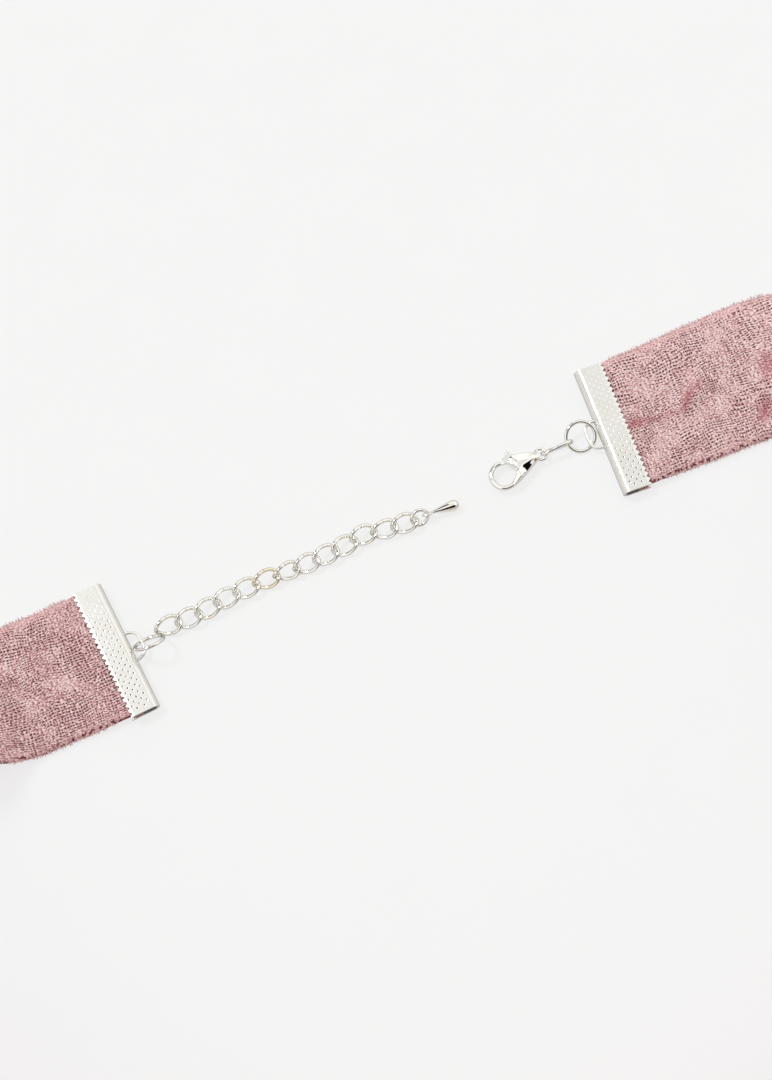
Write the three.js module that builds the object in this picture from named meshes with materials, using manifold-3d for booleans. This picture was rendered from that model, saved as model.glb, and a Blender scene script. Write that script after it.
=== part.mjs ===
// A crushed velvet ribbon choker, unfastened and lying on a table, in millimetres with +Z up.
// X runs along the line of the clasp, from the extender chain's end of the ribbon to the clasp's end.
// The visible ends lie flat with the pile up; between them the ribbon turns onto its edge and goes round.
import * as THREE from 'three';
import { mergeVertices } from 'three/addons/utils/BufferGeometryUtils.js';
import Module from 'manifold-3d';

const wasm = await Module();
wasm.setup();

// Ribbon
const ribbonLength = 400;
const ribbonWidth = 20.2;
const ribbonThickness = 1.0;
const ribbonLean = 86;
const twistLength = 30;
const straightAtClasp = 24;
const flatAtClasp = 20;
const flatAtChain = 12;
const ribbonStepLength = 3.6;
const ribbonColumns = 8;
const liftLength = 6.8;

// The plan of the ribbon's middle line from the clasp end: it turns one way all round the loop.
// A row is an arc, with its radius as a share of the loop's size, or one of the three straight runs.
const ribbonPlan = [
  { turn: 0, run: 'start' },
  { turn: 18, radiusShare: 0.6 },
  { turn: 98, radiusShare: 0.19 },
  { turn: 0, run: 'side' },
  { turn: 141, radiusShare: 1.0 },
  { turn: 103, radiusShare: 0.19 },
  { turn: 0, run: 'end' },
];

// The velvet stretches a little, so its width changes along the ribbon, as shares of the length and width.
const ribbonWidths = [
  { along: 0, share: 1.0 },
  { along: 0.06, share: 1.05 },
  { along: 0.18, share: 1.0 },
  { along: 0.93, share: 0.985 },
  { along: 1, share: 0.985 },
];

// Low ridges pressed into the flat end by the clasp: place and size as shares of the ribbon's width,
// measured from its clasp end and its middle line, and height as a share of its thickness.
const ribbonRidges = [
  { along: 0.58, across: 0.02, length: 0.42, width: 0.07, slant: 18, height: 0.55 },
  { along: 0.86, across: 0.18, length: 0.3, width: 0.06, slant: -24, height: 0.4 },
  { along: 1.05, across: -0.2, length: 0.34, width: 0.08, slant: 34, height: 0.35 },
];

// Ribbon end crimps, each one folded strip of plate with a toothed open edge
const spineGap = 76;
const claspEndShift = 1.9;
const crimpLength = 20.4;
const crimpWidth = 4.5;
const crimpPlate = 0.45;
const toothCount = 23;
const toothDepth = 0.4;
const crimpTurnAtClasp = -3.9;
const crimpTurnAtChain = 3;
const ribbonClearance = 0.15;
const ribbonEndGap = 0.9;
const archSpan = 4.8;
const archReach = 1.9;
const archWall = 0.42;
const archHeight = 0.55;
const archTipShare = 0.28;
const archOffsetAtChain = 0.4;

// Jump rings
const jumpRingOuter = 5;
const jumpRingWire = 0.53;
const claspRingRoll = 26;
const claspRingSideShift = 0.7;
const chainRingRoll = -58;
const chainRingSideShift = -1.15;
const dropRingOuter = 3;
const dropRingWire = 0.5;
const dropRingRoll = 50;
const dropRingSideShift = -0.2;
const ringSides = 16;
const smallRingSides = 12;
const wireSides = 6;
const wireClearance = 0.1;
const floorClearance = 0.02;

// Extender chain of curb links: every link is an oval of wire whose two ends are twisted opposite ways
const linkPitch = 3.16;
const linkWidth = 3.15;
const linkWire = 0.55;
const linkTwist = -45;
const linkClearance = 0.16;
const linkHeightStep = 0.12;
const linkSteps = 16;
const warmLink = 6;
// One roll about its own length for each link, from the ribbon to the drop.
const linkRolls = [36, 22, 14, 10, 18, 34, 50, 36, 22, 14, 24, 38, 26];
// Chosen points that the chain lies through, along and across from the chain-side spine.
const chainRoute = [
  [0, 0.3],
  [5, 0.4],
  [10, 0.3],
  [16, 0.9],
  [22, 1.1],
  [28, 0.9],
  [34, 1.2],
  [38, 1.6],
  [43, 0.8],
  [47, 0.9],
  [53, 0.5],
  [60, 0.2],
];

// Teardrop at the chain's end
const dropLength = 4.4;
const dropWidth = 1.66;
const dropEyeOuter = 1.7;
const dropEyeWire = 0.42;
const dropRoll = 30;
const dropTilt = 5;
// The teardrop's side from its neck to its round end, as shares of its length and of half its width:
// each row is the control point and the end of one curve.
const dropProfile = [
  { control: [0.3, 0.62], end: [0.62, 0.93] },
  { control: [0.82, 1.12], end: [0.94, 0.72] },
  { control: [1, 0.45], end: [1, 0] },
];

// Lobster clasp: lengths along it are measured from the middle of its hook
const claspLength = 9.8;
const claspWidth = 4.6;
const claspThickness = 2.3;
const claspTurn = 7.6;
const hookHole = 3.24;
const hookWire = 0.64;
const hookHeight = 0.84;
const hookRoot = -48;
const hookOpening = 74;
const hookSteps = 18;
const hookSides = 8;
const bodySides = 14;
const bodyFullness = 0.8;
const slotStart = 0.1;
const slotFloor = -0.3;
const eyeOuter = 2.2;
const eyeWire = 0.48;
const leverThickness = 0.9;
const leverGap = 0.12;
const leverEnd = 0.55;
const leverEndFrom = -115;
const leverEndTo = 52;
const pivotAlong = 0.475;
const pivotAcross = 0.075;
const pinDiameter = 0.6;
const pinClearance = 0.06;
const pinLengthShare = 0.86;
const claspLinkLength = 5.3;
const claspLinkWidth = 2.4;
const claspLinkSideShift = -0.15;
const claspLinkTurn = 0;
const claspLinkLean = 105;
const claspLinkTwist = -12;

// Sections of the clasp's body from its hook to its eye: along as shares of the clasp's length,
// low and high edges as shares of its width, and thick as a share of its thickness.
const claspSections = [
  { along: 0.05, low: -0.49, high: -0.34, thick: 0.36 },
  { along: 0.13, low: -0.45, high: -0.2, thick: 0.52 },
  { along: 0.2, low: -0.405, high: 0.06, thick: 0.74 },
  { along: 0.28, low: -0.355, high: 0.29, thick: 0.94 },
  { along: 0.38, low: -0.29, high: 0.31, thick: 1.0 },
  { along: 0.47, low: -0.225, high: 0.28, thick: 0.94 },
  { along: 0.55, low: -0.17, high: 0.2, thick: 0.72 },
  { along: 0.6, low: -0.13, high: 0.13, thick: 0.5 },
];

// The side of the hook's hole that faces the pivot, as shares of the hole's radius.
const holeInnerSide = [
  { control: [1.5, -0.95], end: [1.5, -0.2] },
  { control: [1.5, 0.6], end: [1.1, 1.2] },
];

// The lever's outline seen from the side, as shares of the clasp's length and width: first its inner side
// from the hook's tip to the pivot, then its outer side with the thumb nub, back to the tip.
const leverOutline = [
  [0.15, 0.31],
  [0.205, 0.25],
  [0.27, 0.14],
  [0.36, 0.07],
  [0.43, -0.01],
];
const leverBack = [
  [0.42, 0.345],
  [0.345, 0.45],
  [0.318, 0.5],
  [0.312, 0.68],
  [0.285, 0.735],
  [0.25, 0.735],
  [0.222, 0.68],
  [0.206, 0.515],
  [0.15, 0.5],
];

const curveSteps = 5;
const weldDistance = 1e-5;
const toRadians = THREE.MathUtils.degToRad;
const ease = (value) => THREE.MathUtils.smoothstep(value, 0, 1);

// Finishes
const silver = { color: 0xd9d8d2, roughness: 0.16, metalness: 1 };
const warmSilver = { color: 0xdcd2b8, roughness: 0.18, metalness: 1 };
const velvet = { color: 0xb97f86, roughness: 0.85, metalness: 0 };

function piece(name, geometry, finish) {
  const mesh = new THREE.Mesh(geometry, new THREE.MeshStandardMaterial(finish));
  mesh.name = name;
  return mesh;
}

// A closed body through rings of points with the same even count, capped at both ends or joined round.
function skin(rings, joined = false) {
  const count = rings[0].length;
  const faces = [];
  const spans = joined ? rings.length : rings.length - 1;
  for (let i = 0; i < spans; i += 1) {
    const here = i * count;
    const next = ((i + 1) % rings.length) * count;
    for (let j = 0; j < count; j += 1) {
      const k = (j + 1) % count;
      faces.push(here + j, next + j, next + k, here + j, next + k, here + k);
    }
  }
  const far = (rings.length - 1) * count;
  for (let j = 0; !joined && j < count / 2 - 1; j += 1) {
    const opposite = count - 1 - j;
    faces.push(j, j + 1, opposite - 1, j, opposite - 1, opposite);
    faces.push(far + j, far + opposite - 1, far + j + 1, far + j, far + opposite, far + opposite - 1);
  }
  const points = rings.flat();
  let volume = 0;
  for (let i = 0; i < faces.length; i += 3) {
    const [a, b, c] = [points[faces[i]], points[faces[i + 1]], points[faces[i + 2]]];
    volume += a.dot(b.clone().cross(c));
  }
  if (volume < 0) {
    faces.reverse();
  }
  const geometry = new THREE.BufferGeometry();
  geometry.setAttribute('position', new THREE.Float32BufferAttribute(points.flatMap((p) => p.toArray()), 3));
  geometry.setIndex(faces);
  return geometry;
}

// A closed mesh as a solid that can be joined and cut.
function solid(geometry) {
  const plain = geometry.clone();
  plain.deleteAttribute('normal');
  plain.deleteAttribute('uv');
  const merged = mergeVertices(plain, weldDistance);
  return new wasm.Manifold(new wasm.Mesh({
    numProp: 3,
    vertProperties: new Float32Array(merged.getAttribute('position').array),
    triVerts: new Uint32Array(merged.getIndex().array),
  }));
}

function surface(body) {
  const mesh = body.getMesh();
  const geometry = new THREE.BufferGeometry();
  geometry.setAttribute('position', new THREE.BufferAttribute(mesh.vertProperties, 3));
  geometry.setIndex(new THREE.BufferAttribute(mesh.triVerts, 1));
  return geometry;
}

// A flat outline given a height along Z, with the outline's plane at its middle.
function slab(outline, height) {
  const geometry = new THREE.ExtrudeGeometry(outline, { depth: height, bevelEnabled: false, curveSegments: curveSteps });
  return geometry.translate(0, 0, -height / 2);
}

// Steps along the ribbon's middle line: the size of the arcs and the last two straight runs are solved
// together, so that the line has the ribbon's length and ends in the other crimp.
function ribbonLine(start, end) {
  const arcs = new THREE.Vector3();
  const runs = { start: new THREE.Vector3(), side: new THREE.Vector3(), end: new THREE.Vector3() };
  let heading = 0;
  for (const row of ribbonPlan) {
    const turned = heading - toRadians(row.turn);
    if (row.run) {
      runs[row.run].set(Math.cos(heading), Math.sin(heading), 1);
    } else {
      const span = new THREE.Vector3(
        Math.sin(heading) - Math.sin(turned),
        Math.cos(turned) - Math.cos(heading),
        heading - turned,
      );
      arcs.addScaledVector(span, row.radiusShare);
    }
    heading = turned;
  }
  const sums = new THREE.Matrix3().set(
    arcs.x, runs.side.x, runs.end.x,
    arcs.y, runs.side.y, runs.end.y,
    arcs.z, runs.side.z, runs.end.z,
  );
  const wanted = new THREE.Vector3(end.x - start.x, end.y - start.y, ribbonLength);
  wanted.addScaledVector(runs.start, -straightAtClasp);
  const [size, side, last] = wanted.applyMatrix3(sums.invert()).toArray();
  const lengths = { start: straightAtClasp, side, end: last };

  const line = [{ point: start.clone(), heading: 0, along: 0 }];
  for (const row of ribbonPlan) {
    const length = row.run ? lengths[row.run] : toRadians(row.turn) * row.radiusShare * size;
    const steps = Math.ceil(length / ribbonStepLength);
    for (let i = 0; i < steps; i += 1) {
      const before = line[line.length - 1];
      const middle = before.heading - toRadians(row.turn) / steps / 2;
      const stride = length / steps;
      const step = new THREE.Vector2(Math.cos(middle), Math.sin(middle)).multiplyScalar(stride);
      line.push({
        point: before.point.clone().add(step),
        heading: before.heading - toRadians(row.turn) / steps,
        along: before.along + stride,
      });
    }
  }
  return line;
}

// A table's share at a place along the ribbon, eased from one row to the next.
function tableValue(rows, along) {
  const place = Math.min(along, 1);
  const after = Math.max(1, rows.findIndex((row) => row.along >= place));
  const high = rows[after];
  const low = rows[after - 1];
  const share = ease((place - low.along) / (high.along - low.along));
  return THREE.MathUtils.lerp(low.share, high.share, share);
}

// Height of the ridges over one point of the ribbon, from its clasp end and its middle line.
function ridgeHeight(along, across) {
  let height = 0;
  for (const ridge of ribbonRidges) {
    const slant = toRadians(ridge.slant);
    const x = along / ribbonWidth - ridge.along;
    const y = across / ribbonWidth - ridge.across;
    const lengthwise = (x * Math.cos(slant) + y * Math.sin(slant)) / ridge.length;
    const crosswise = (y * Math.cos(slant) - x * Math.sin(slant)) / ridge.width;
    height += ridge.height * ribbonThickness * Math.exp(-((2 * lengthwise) ** 2) - crosswise ** 2);
  }
  return height;
}

const crimpThickness = ribbonThickness + 2 * ribbonClearance + 2 * crimpPlate;
const ribbonInCrimp = crimpPlate + ribbonClearance;
const ribbonFromSpine = crimpThickness / 2 + ribbonEndGap;
const crimpHold = crimpWidth - ribbonFromSpine;

function ribbonGeometry(start, end) {
  const rings = [];
  for (const { point, heading, along } of ribbonLine(start, end)) {
    const left = ribbonLength - along;
    const rise = ease((along - crimpHold - flatAtClasp) / twistLength);
    const fall = ease((left - crimpHold - flatAtChain) / twistLength);
    const lean = toRadians(ribbonLean) * rise * fall;
    const nearEnd = Math.min(along, left);
    const lift = ribbonInCrimp * (1 - ease((nearEnd - crimpHold) / liftLength));
    const flat = 1 - rise;
    const halfWidth = (ribbonWidth * tableValue(ribbonWidths, along / ribbonLength)) / 2;
    const inward = new THREE.Vector3(Math.sin(heading), -Math.cos(heading), 0);
    const across = inward.clone().multiplyScalar(Math.cos(lean)).setZ(Math.sin(lean));
    const outward = inward.clone().multiplyScalar(-Math.sin(lean)).setZ(Math.cos(lean));
    const middle = new THREE.Vector3(point.x, point.y, lift + halfWidth * Math.sin(lean));
    const back = [];
    const pile = [];
    for (let i = 0; i <= ribbonColumns; i += 1) {
      const offset = halfWidth * ((2 * i) / ribbonColumns - 1);
      const held = ease((nearEnd - crimpHold) / crimpWidth);
      const ridge = ridgeHeight(along - crimpHold, -offset) * flat * held;
      const base = middle.clone().addScaledVector(across, offset).addScaledVector(outward, ridge);
      back.push(base);
      pile.unshift(base.clone().addScaledVector(outward, ribbonThickness));
    }
    rings.push([...back, ...pile]);
  }
  return skin(rings);
}

// A crimp with its folded spine at x = 0, its teeth at x = crimpWidth and its lower plate on z = 0.
function crimpGeometry(archOffset) {
  const outer = crimpThickness / 2;
  const inner = outer - crimpPlate;
  const fold = new THREE.Shape();
  fold.moveTo(crimpWidth, 0);
  fold.lineTo(crimpWidth, crimpPlate);
  fold.lineTo(outer, crimpPlate);
  fold.absarc(outer, outer, inner, -Math.PI / 2, Math.PI / 2, true);
  fold.lineTo(crimpWidth, crimpThickness - crimpPlate);
  fold.lineTo(crimpWidth, crimpThickness);
  fold.lineTo(outer, crimpThickness);
  fold.absarc(outer, outer, outer, Math.PI / 2, -Math.PI / 2, false);
  const folded = slab(fold, crimpLength).rotateX(Math.PI / 2);

  const teeth = new THREE.Shape();
  const pitch = crimpLength / toothCount;
  const past = crimpWidth + crimpPlate;
  teeth.moveTo(past, -crimpLength);
  teeth.lineTo(crimpWidth, -crimpLength);
  teeth.lineTo(crimpWidth, -crimpLength / 2);
  for (let i = 0; i < toothCount; i += 1) {
    const y = i * pitch - crimpLength / 2;
    teeth.lineTo(crimpWidth - toothDepth, y + pitch / 2);
    teeth.lineTo(crimpWidth, y + pitch);
  }
  teeth.lineTo(crimpWidth, crimpLength);
  teeth.lineTo(past, crimpLength);
  const notches = slab(teeth, 4 * crimpThickness);

  const arch = new THREE.Shape();
  const root = crimpPlate / 2;
  const shoulder = archSpan * archTipShare;
  const reach = archReach + crimpPlate / 2;
  arch.moveTo(root, -archSpan / 2);
  arch.quadraticCurveTo(-archReach, -archSpan / 2, root - reach, -shoulder / 2);
  arch.quadraticCurveTo(-archReach - archWall / 4, 0, root - reach, shoulder / 2);
  arch.quadraticCurveTo(-archReach, archSpan / 2, root, archSpan / 2);
  arch.lineTo(root, archSpan / 2 - archWall);
  arch.quadraticCurveTo(archWall - archReach, archSpan / 2 - archWall, archWall - archReach, shoulder / 2);
  arch.lineTo(archWall - archReach, -shoulder / 2);
  arch.quadraticCurveTo(archWall - archReach, archWall - archSpan / 2, root, archWall - archSpan / 2);
  const band = slab(arch, archHeight).translate(0, archOffset, outer);

  return surface(solid(folded).subtract(solid(notches)).add(solid(band)));
}

// A loop of wire with round ends and straight sides, whose ends are twisted by equal and opposite angles.
function wireLoop(halfLength, halfWidth, wire, twist, steps) {
  const centre = (share) => {
    const angle = share * 2 * Math.PI;
    const turned = toRadians(twist) * Math.cos(angle);
    const side = halfWidth * Math.sin(angle);
    const end = halfWidth * Math.cos(angle) + (halfLength - halfWidth) * Math.sign(Math.cos(angle));
    return new THREE.Vector3(end, side * Math.cos(turned), side * Math.sin(turned));
  };
  const rings = [];
  for (let i = 0; i < steps; i += 1) {
    const share = (i + 0.5) / steps;
    const point = centre(share);
    const ahead = centre(share + 0.4 / steps).sub(centre(share - 0.4 / steps)).normalize();
    const turned = toRadians(twist) * Math.cos(share * 2 * Math.PI);
    const up = new THREE.Vector3(0, -Math.sin(turned), Math.cos(turned));
    const out = new THREE.Vector3().crossVectors(ahead, up).normalize();
    const over = new THREE.Vector3().crossVectors(out, ahead);
    const ring = [];
    for (let j = 0; j < wireSides; j += 1) {
      const angle = (j / wireSides) * 2 * Math.PI;
      ring.push(point.clone()
        .addScaledVector(out, (wire / 2) * Math.cos(angle))
        .addScaledVector(over, (wire / 2) * Math.sin(angle)));
    }
    rings.push(ring);
  }
  return skin(rings, true);
}

// A wire shape that was turned, lifted so that its lowest corner is just clear of the table.
function restOnTable(mesh) {
  mesh.updateMatrixWorld(true);
  const box = new THREE.Box3().setFromObject(mesh, true);
  mesh.position.z += floorClearance - box.min.z;
}

function dropGeometry() {
  const radius = dropWidth / 2;
  const profile = new THREE.Path();
  profile.moveTo(0, 0);
  profile.lineTo(dropEyeWire / 2, 0);
  for (const { control, end } of dropProfile) {
    profile.quadraticCurveTo(radius * control[1], dropLength * control[0], radius * end[1], dropLength * end[0]);
  }
  const pear = new THREE.LatheGeometry(profile.getPoints(curveSteps), smallRingSides).rotateZ(-Math.PI / 2);
  const eyeRadius = (dropEyeOuter - dropEyeWire) / 2;
  const eye = wireLoop(eyeRadius, eyeRadius, dropEyeWire, 0, smallRingSides).rotateX(Math.PI / 2);
  eye.translate(-eyeRadius, 0, 0);
  return surface(solid(pear).add(solid(eye)));
}

// The clasp lies on its side with its middle plane at z = 0 and the middle of its hook at the origin.
const pivot = new THREE.Vector2(pivotAlong * claspLength, pivotAcross * claspWidth);
const hookRadius = (hookHole + hookWire) / 2;
const eyeAlong = claspLength - hookHole / 2 - hookWire - eyeOuter / 2;

function claspPoint([along, across]) {
  return new THREE.Vector2(along * claspLength, across * claspWidth);
}

function hookGeometry() {
  const rings = [];
  const first = toRadians(hookRoot);
  const last = toRadians(hookOpening - 360);
  for (let i = 0; i <= hookSteps; i += 1) {
    const angle = THREE.MathUtils.lerp(first, last, i / hookSteps);
    const ring = [];
    for (let j = 0; j < hookSides; j += 1) {
      const round = ((j + 0.5) / hookSides) * 2 * Math.PI;
      const radius = hookRadius + (hookWire / 2) * Math.cos(round);
      const height = (hookHeight / 2) * Math.sin(round);
      ring.push(new THREE.Vector3(radius * Math.cos(angle), radius * Math.sin(angle), height));
    }
    rings.push(ring);
  }
  return skin(rings);
}

function claspBodyGeometry() {
  const rings = claspSections.map((row) => {
    const middle = ((row.high + row.low) / 2) * claspWidth;
    const half = ((row.high - row.low) / 2) * claspWidth;
    const thick = (row.thick * claspThickness) / 2;
    const ring = [];
    for (let j = 0; j < bodySides; j += 1) {
      const angle = ((j + 0.5) / bodySides) * 2 * Math.PI;
      const round = Math.cos(angle);
      const high = Math.sin(angle);
      const y = middle + half * Math.sign(round) * Math.abs(round) ** bodyFullness;
      const z = thick * Math.sign(high) * Math.abs(high) ** bodyFullness;
      ring.push(new THREE.Vector3(row.along * claspLength, y, z));
    }
    return ring;
  });

  const hole = new THREE.Shape();
  const inner = hookHole / 2;
  hole.moveTo(0, -inner);
  for (const { control, end } of holeInnerSide) {
    hole.quadraticCurveTo(inner * control[0], inner * control[1], inner * end[0], inner * end[1]);
  }
  hole.lineTo(0, inner);
  hole.absarc(0, 0, inner, Math.PI / 2, (3 * Math.PI) / 2, false);

  const slotFrom = claspLength * slotStart;
  const slotEnd = pivot.x + leverEnd + leverGap;
  const slotWidth = leverThickness + 2 * leverGap;
  const slot = new THREE.Shape();
  slot.moveTo(slotFrom, claspWidth * slotFloor);
  slot.lineTo(slotEnd, pivot.y - leverEnd - leverGap);
  slot.lineTo(slotEnd, claspWidth);
  slot.lineTo(slotFrom, claspWidth);

  const pinHole = new THREE.Shape();
  pinHole.absarc(pivot.x, pivot.y, pinDiameter / 2 + pinClearance, 0, 2 * Math.PI, false);
  const eyeRadius = (eyeOuter - eyeWire) / 2;
  const eye = wireLoop(eyeRadius, eyeRadius, eyeWire, 0, 16).translate(eyeAlong, 0, 0);

  const body = solid(skin(rings))
    .subtract(solid(slab(hole, 2 * claspThickness)))
    .subtract(solid(slab(slot, slotWidth)))
    .subtract(solid(slab(pinHole, 2 * claspThickness)));
  return surface(body.add(solid(hookGeometry())).add(solid(eye)));
}

function leverGeometry() {
  const outline = new THREE.Shape();
  const face = toRadians(hookOpening) - leverGap / hookRadius;
  const inner = hookRadius - hookWire / 2;
  const outer = hookRadius + hookWire / 2;
  outline.moveTo(inner * Math.cos(face), inner * Math.sin(face));
  for (const row of leverOutline) {
    const point = claspPoint(row);
    outline.lineTo(point.x, point.y);
  }
  outline.absarc(pivot.x, pivot.y, leverEnd, toRadians(leverEndFrom), toRadians(leverEndTo), false);
  for (const row of leverBack) {
    const point = claspPoint(row);
    outline.lineTo(point.x, point.y);
  }
  outline.lineTo(outer * Math.cos(face), outer * Math.sin(face));
  const bore = new THREE.Path();
  bore.absarc(pivot.x, pivot.y, pinDiameter / 2 + pinClearance, 0, 2 * Math.PI, true);
  outline.holes.push(bore);
  return slab(outline, leverThickness);
}

function pinGeometry() {
  const outline = new THREE.Shape();
  outline.absarc(pivot.x, pivot.y, pinDiameter / 2, 0, 2 * Math.PI, false);
  return slab(outline, claspThickness * pinLengthShare);
}

// Crimps
const claspSpine = new THREE.Vector2(spineGap / 2, claspEndShift);
const chainSpine = new THREE.Vector2(-spineGap / 2, 0);
const claspCrimp = piece('ribbon_end_clasp', crimpGeometry(0), silver);
claspCrimp.position.set(claspSpine.x, claspSpine.y, 0);
claspCrimp.rotation.z = toRadians(crimpTurnAtClasp);
const chainCrimp = piece('ribbon_end_chain', crimpGeometry(archOffsetAtChain), silver);
chainCrimp.position.set(chainSpine.x, chainSpine.y, 0);
chainCrimp.rotation.z = Math.PI + toRadians(crimpTurnAtChain);

// Ribbon
const ribbonStart = claspSpine.clone().add(new THREE.Vector2(ribbonFromSpine, 0));
const ribbonEnd = chainSpine.clone().sub(new THREE.Vector2(ribbonFromSpine, 0));
const ribbon = piece('ribbon', ribbonGeometry(ribbonStart, ribbonEnd), velvet);

// Clasp side: jump ring, connecting link and clasp
const jumpRadius = (jumpRingOuter - jumpRingWire) / 2;
const jumpRing = wireLoop(jumpRadius, jumpRadius, jumpRingWire, 0, ringSides);
const spineToRing = jumpRingWire / 2 + wireClearance + jumpRadius;
const claspRing = piece('jump_ring_clasp', jumpRing, silver);
claspRing.position.set(claspSpine.x - spineToRing, claspSpine.y + claspRingSideShift, 0);
claspRing.rotation.x = toRadians(claspRingRoll);
restOnTable(claspRing);

const linkToWire = linkWire / 2 + wireClearance;
const linkRight = claspRing.position.x - jumpRadius + jumpRingWire / 2 + linkToWire;
const eyeInside = (eyeOuter - eyeWire) / 2 - eyeWire / 2;
const claspLinkHalf = (claspLinkLength - linkWire) / 2;
const claspLinkShape = wireLoop(
  claspLinkHalf, (claspLinkWidth - linkWire) / 2, linkWire, claspLinkTwist, linkSteps,
);
const claspLink = piece('clasp_link', claspLinkShape, silver);
claspLink.position.set(linkRight - claspLinkHalf, claspRing.position.y + claspLinkSideShift, 0);
claspLink.rotation.set(toRadians(claspLinkLean), 0, toRadians(claspLinkTurn), 'ZYX');
restOnTable(claspLink);

const clasp = new THREE.Group();
const eyePlace = new THREE.Vector2(linkRight - 2 * claspLinkHalf - eyeInside + linkToWire, claspLink.position.y);
clasp.rotation.z = toRadians(claspTurn);
clasp.position.set(
  eyePlace.x - eyeAlong * Math.cos(clasp.rotation.z),
  eyePlace.y - eyeAlong * Math.sin(clasp.rotation.z),
  claspThickness / 2 + floorClearance,
);
clasp.add(piece('clasp_body', claspBodyGeometry(), silver));
clasp.add(piece('clasp_lever', leverGeometry(), silver));
clasp.add(piece('lever_pin', pinGeometry(), silver));

// Chain side: jump ring, curb links, small ring and drop
const chainRing = piece('jump_ring_chain', jumpRing, silver);
chainRing.position.set(chainSpine.x + spineToRing, chainSpine.y + chainRingSideShift, 0);
chainRing.rotation.x = toRadians(chainRingRoll);
restOnTable(chainRing);

const linkHalf = (linkPitch + linkWire + linkClearance) / 2;
const linkShape = wireLoop(linkHalf, (linkWidth - linkWire) / 2, linkWire, linkTwist, linkSteps);
const route = new THREE.CatmullRomCurve3(
  chainRoute.map(([along, across]) => new THREE.Vector3(chainSpine.x + along, chainSpine.y + across, 0)),
);
route.arcLengthDivisions = 400;
const routeLength = route.getLength();
const firstLink = chainRing.position.x + jumpRadius - jumpRingWire / 2 - linkToWire + linkHalf - chainSpine.x;
const links = linkRolls.map((roll, i) => {
  const share = (firstLink + i * linkPitch) / routeLength;
  const name = `chain_link_${String(i + 1).padStart(2, '0')}`;
  const link = piece(name, linkShape, i + 1 === warmLink ? warmSilver : silver);
  const ahead = route.getTangentAt(share);
  link.position.copy(route.getPointAt(share));
  link.rotation.set(toRadians(roll), 0, Math.atan2(ahead.y, ahead.x), 'ZYX');
  restOnTable(link);
  return link;
});
// A link that stands higher than its neighbours on the table lifts them by a little less at every step.
const heights = links.map((link) => link.position.z);
links.forEach((link, i) => {
  link.position.z = Math.max(...heights.map((height, j) => height - linkHeightStep * Math.abs(i - j)));
});

const dropRingRadius = (dropRingOuter - dropRingWire) / 2;
const chainEnd = (firstLink + (links.length - 1) * linkPitch + linkHalf);
const ringShare = (chainEnd - linkToWire - linkClearance - dropRingWire / 2 + dropRingRadius) / routeLength;
const dropRingShape = wireLoop(dropRingRadius, dropRingRadius, dropRingWire, 0, smallRingSides);
const dropRing = piece('jump_ring_drop', dropRingShape, silver);
dropRing.position.copy(route.getPointAt(ringShare));
dropRing.position.y += dropRingSideShift;
dropRing.rotation.x = toRadians(dropRingRoll);
restOnTable(dropRing);

const dropEyeShare = ringShare + dropRingRadius / routeLength;
const dropAhead = route.getTangentAt(dropEyeShare);
const drop = piece('drop', dropGeometry(), silver);
drop.position.copy(route.getPointAt(dropEyeShare)).setZ(dropRing.position.z);
drop.position.y += dropRingSideShift;
drop.position.addScaledVector(dropAhead, (dropEyeOuter - dropEyeWire) / 2);
drop.rotation.set(toRadians(dropRoll), toRadians(dropTilt), Math.atan2(dropAhead.y, dropAhead.x), 'ZYX');

const choker = new THREE.Group();
choker.add(ribbon, claspCrimp, chainCrimp, claspRing, claspLink, clasp, chainRing, ...links, dropRing, drop);

// The origin is the middle of the whole choker's box, on the table.
choker.updateMatrixWorld(true);
const middle = new THREE.Box3().setFromObject(choker, true).getCenter(new THREE.Vector3());
choker.position.set(-middle.x, -middle.y, 0);

export default choker;
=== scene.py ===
"""The looks of a velvet ribbon choker, unfastened and lying on a pale table, built round its CAD model."""
import math

import bpy
import numpy as np
from mathutils import Matrix, Vector, noise


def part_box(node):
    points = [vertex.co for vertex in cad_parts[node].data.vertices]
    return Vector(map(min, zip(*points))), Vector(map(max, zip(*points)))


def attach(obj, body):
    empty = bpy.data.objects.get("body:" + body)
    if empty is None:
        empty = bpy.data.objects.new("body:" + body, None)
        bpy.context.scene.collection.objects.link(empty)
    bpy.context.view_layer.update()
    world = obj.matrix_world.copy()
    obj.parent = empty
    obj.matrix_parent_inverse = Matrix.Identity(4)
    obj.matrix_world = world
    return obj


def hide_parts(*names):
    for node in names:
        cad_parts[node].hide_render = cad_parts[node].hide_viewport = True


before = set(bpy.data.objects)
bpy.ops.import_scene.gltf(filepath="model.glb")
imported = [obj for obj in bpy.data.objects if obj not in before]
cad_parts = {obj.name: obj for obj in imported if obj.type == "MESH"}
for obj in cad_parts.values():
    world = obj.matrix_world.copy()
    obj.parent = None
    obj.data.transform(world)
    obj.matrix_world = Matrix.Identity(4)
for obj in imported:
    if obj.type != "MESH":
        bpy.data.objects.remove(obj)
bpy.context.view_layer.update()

# Camera. It looks down on the table, 17.5 degrees off the vertical, with the line of the clasp rising
# to the right across the picture, from the distance of an 85 mm lens that takes in 159 mm of table.
PICTURE_MIDDLE = Vector((0.00333, 0.04274, 0.001))
CAMERA_DISTANCE = 0.375
CAMERA_RISE = math.radians(72.5)
CAMERA_LENS = 85
CAMERA_SENSOR = 36
NEAREST_SEEN = 0.01
LINE_RISE = math.radians(23.8)
picture_right = Vector((math.cos(LINE_RISE), -math.sin(LINE_RISE), 0))
picture_up = Vector((math.sin(LINE_RISE), math.cos(LINE_RISE), 0))
towards_camera = -picture_up * math.cos(CAMERA_RISE) + Vector((0, 0, math.sin(CAMERA_RISE)))
camera_data = bpy.data.cameras.new("camera")
camera_data.lens = CAMERA_LENS
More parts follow.
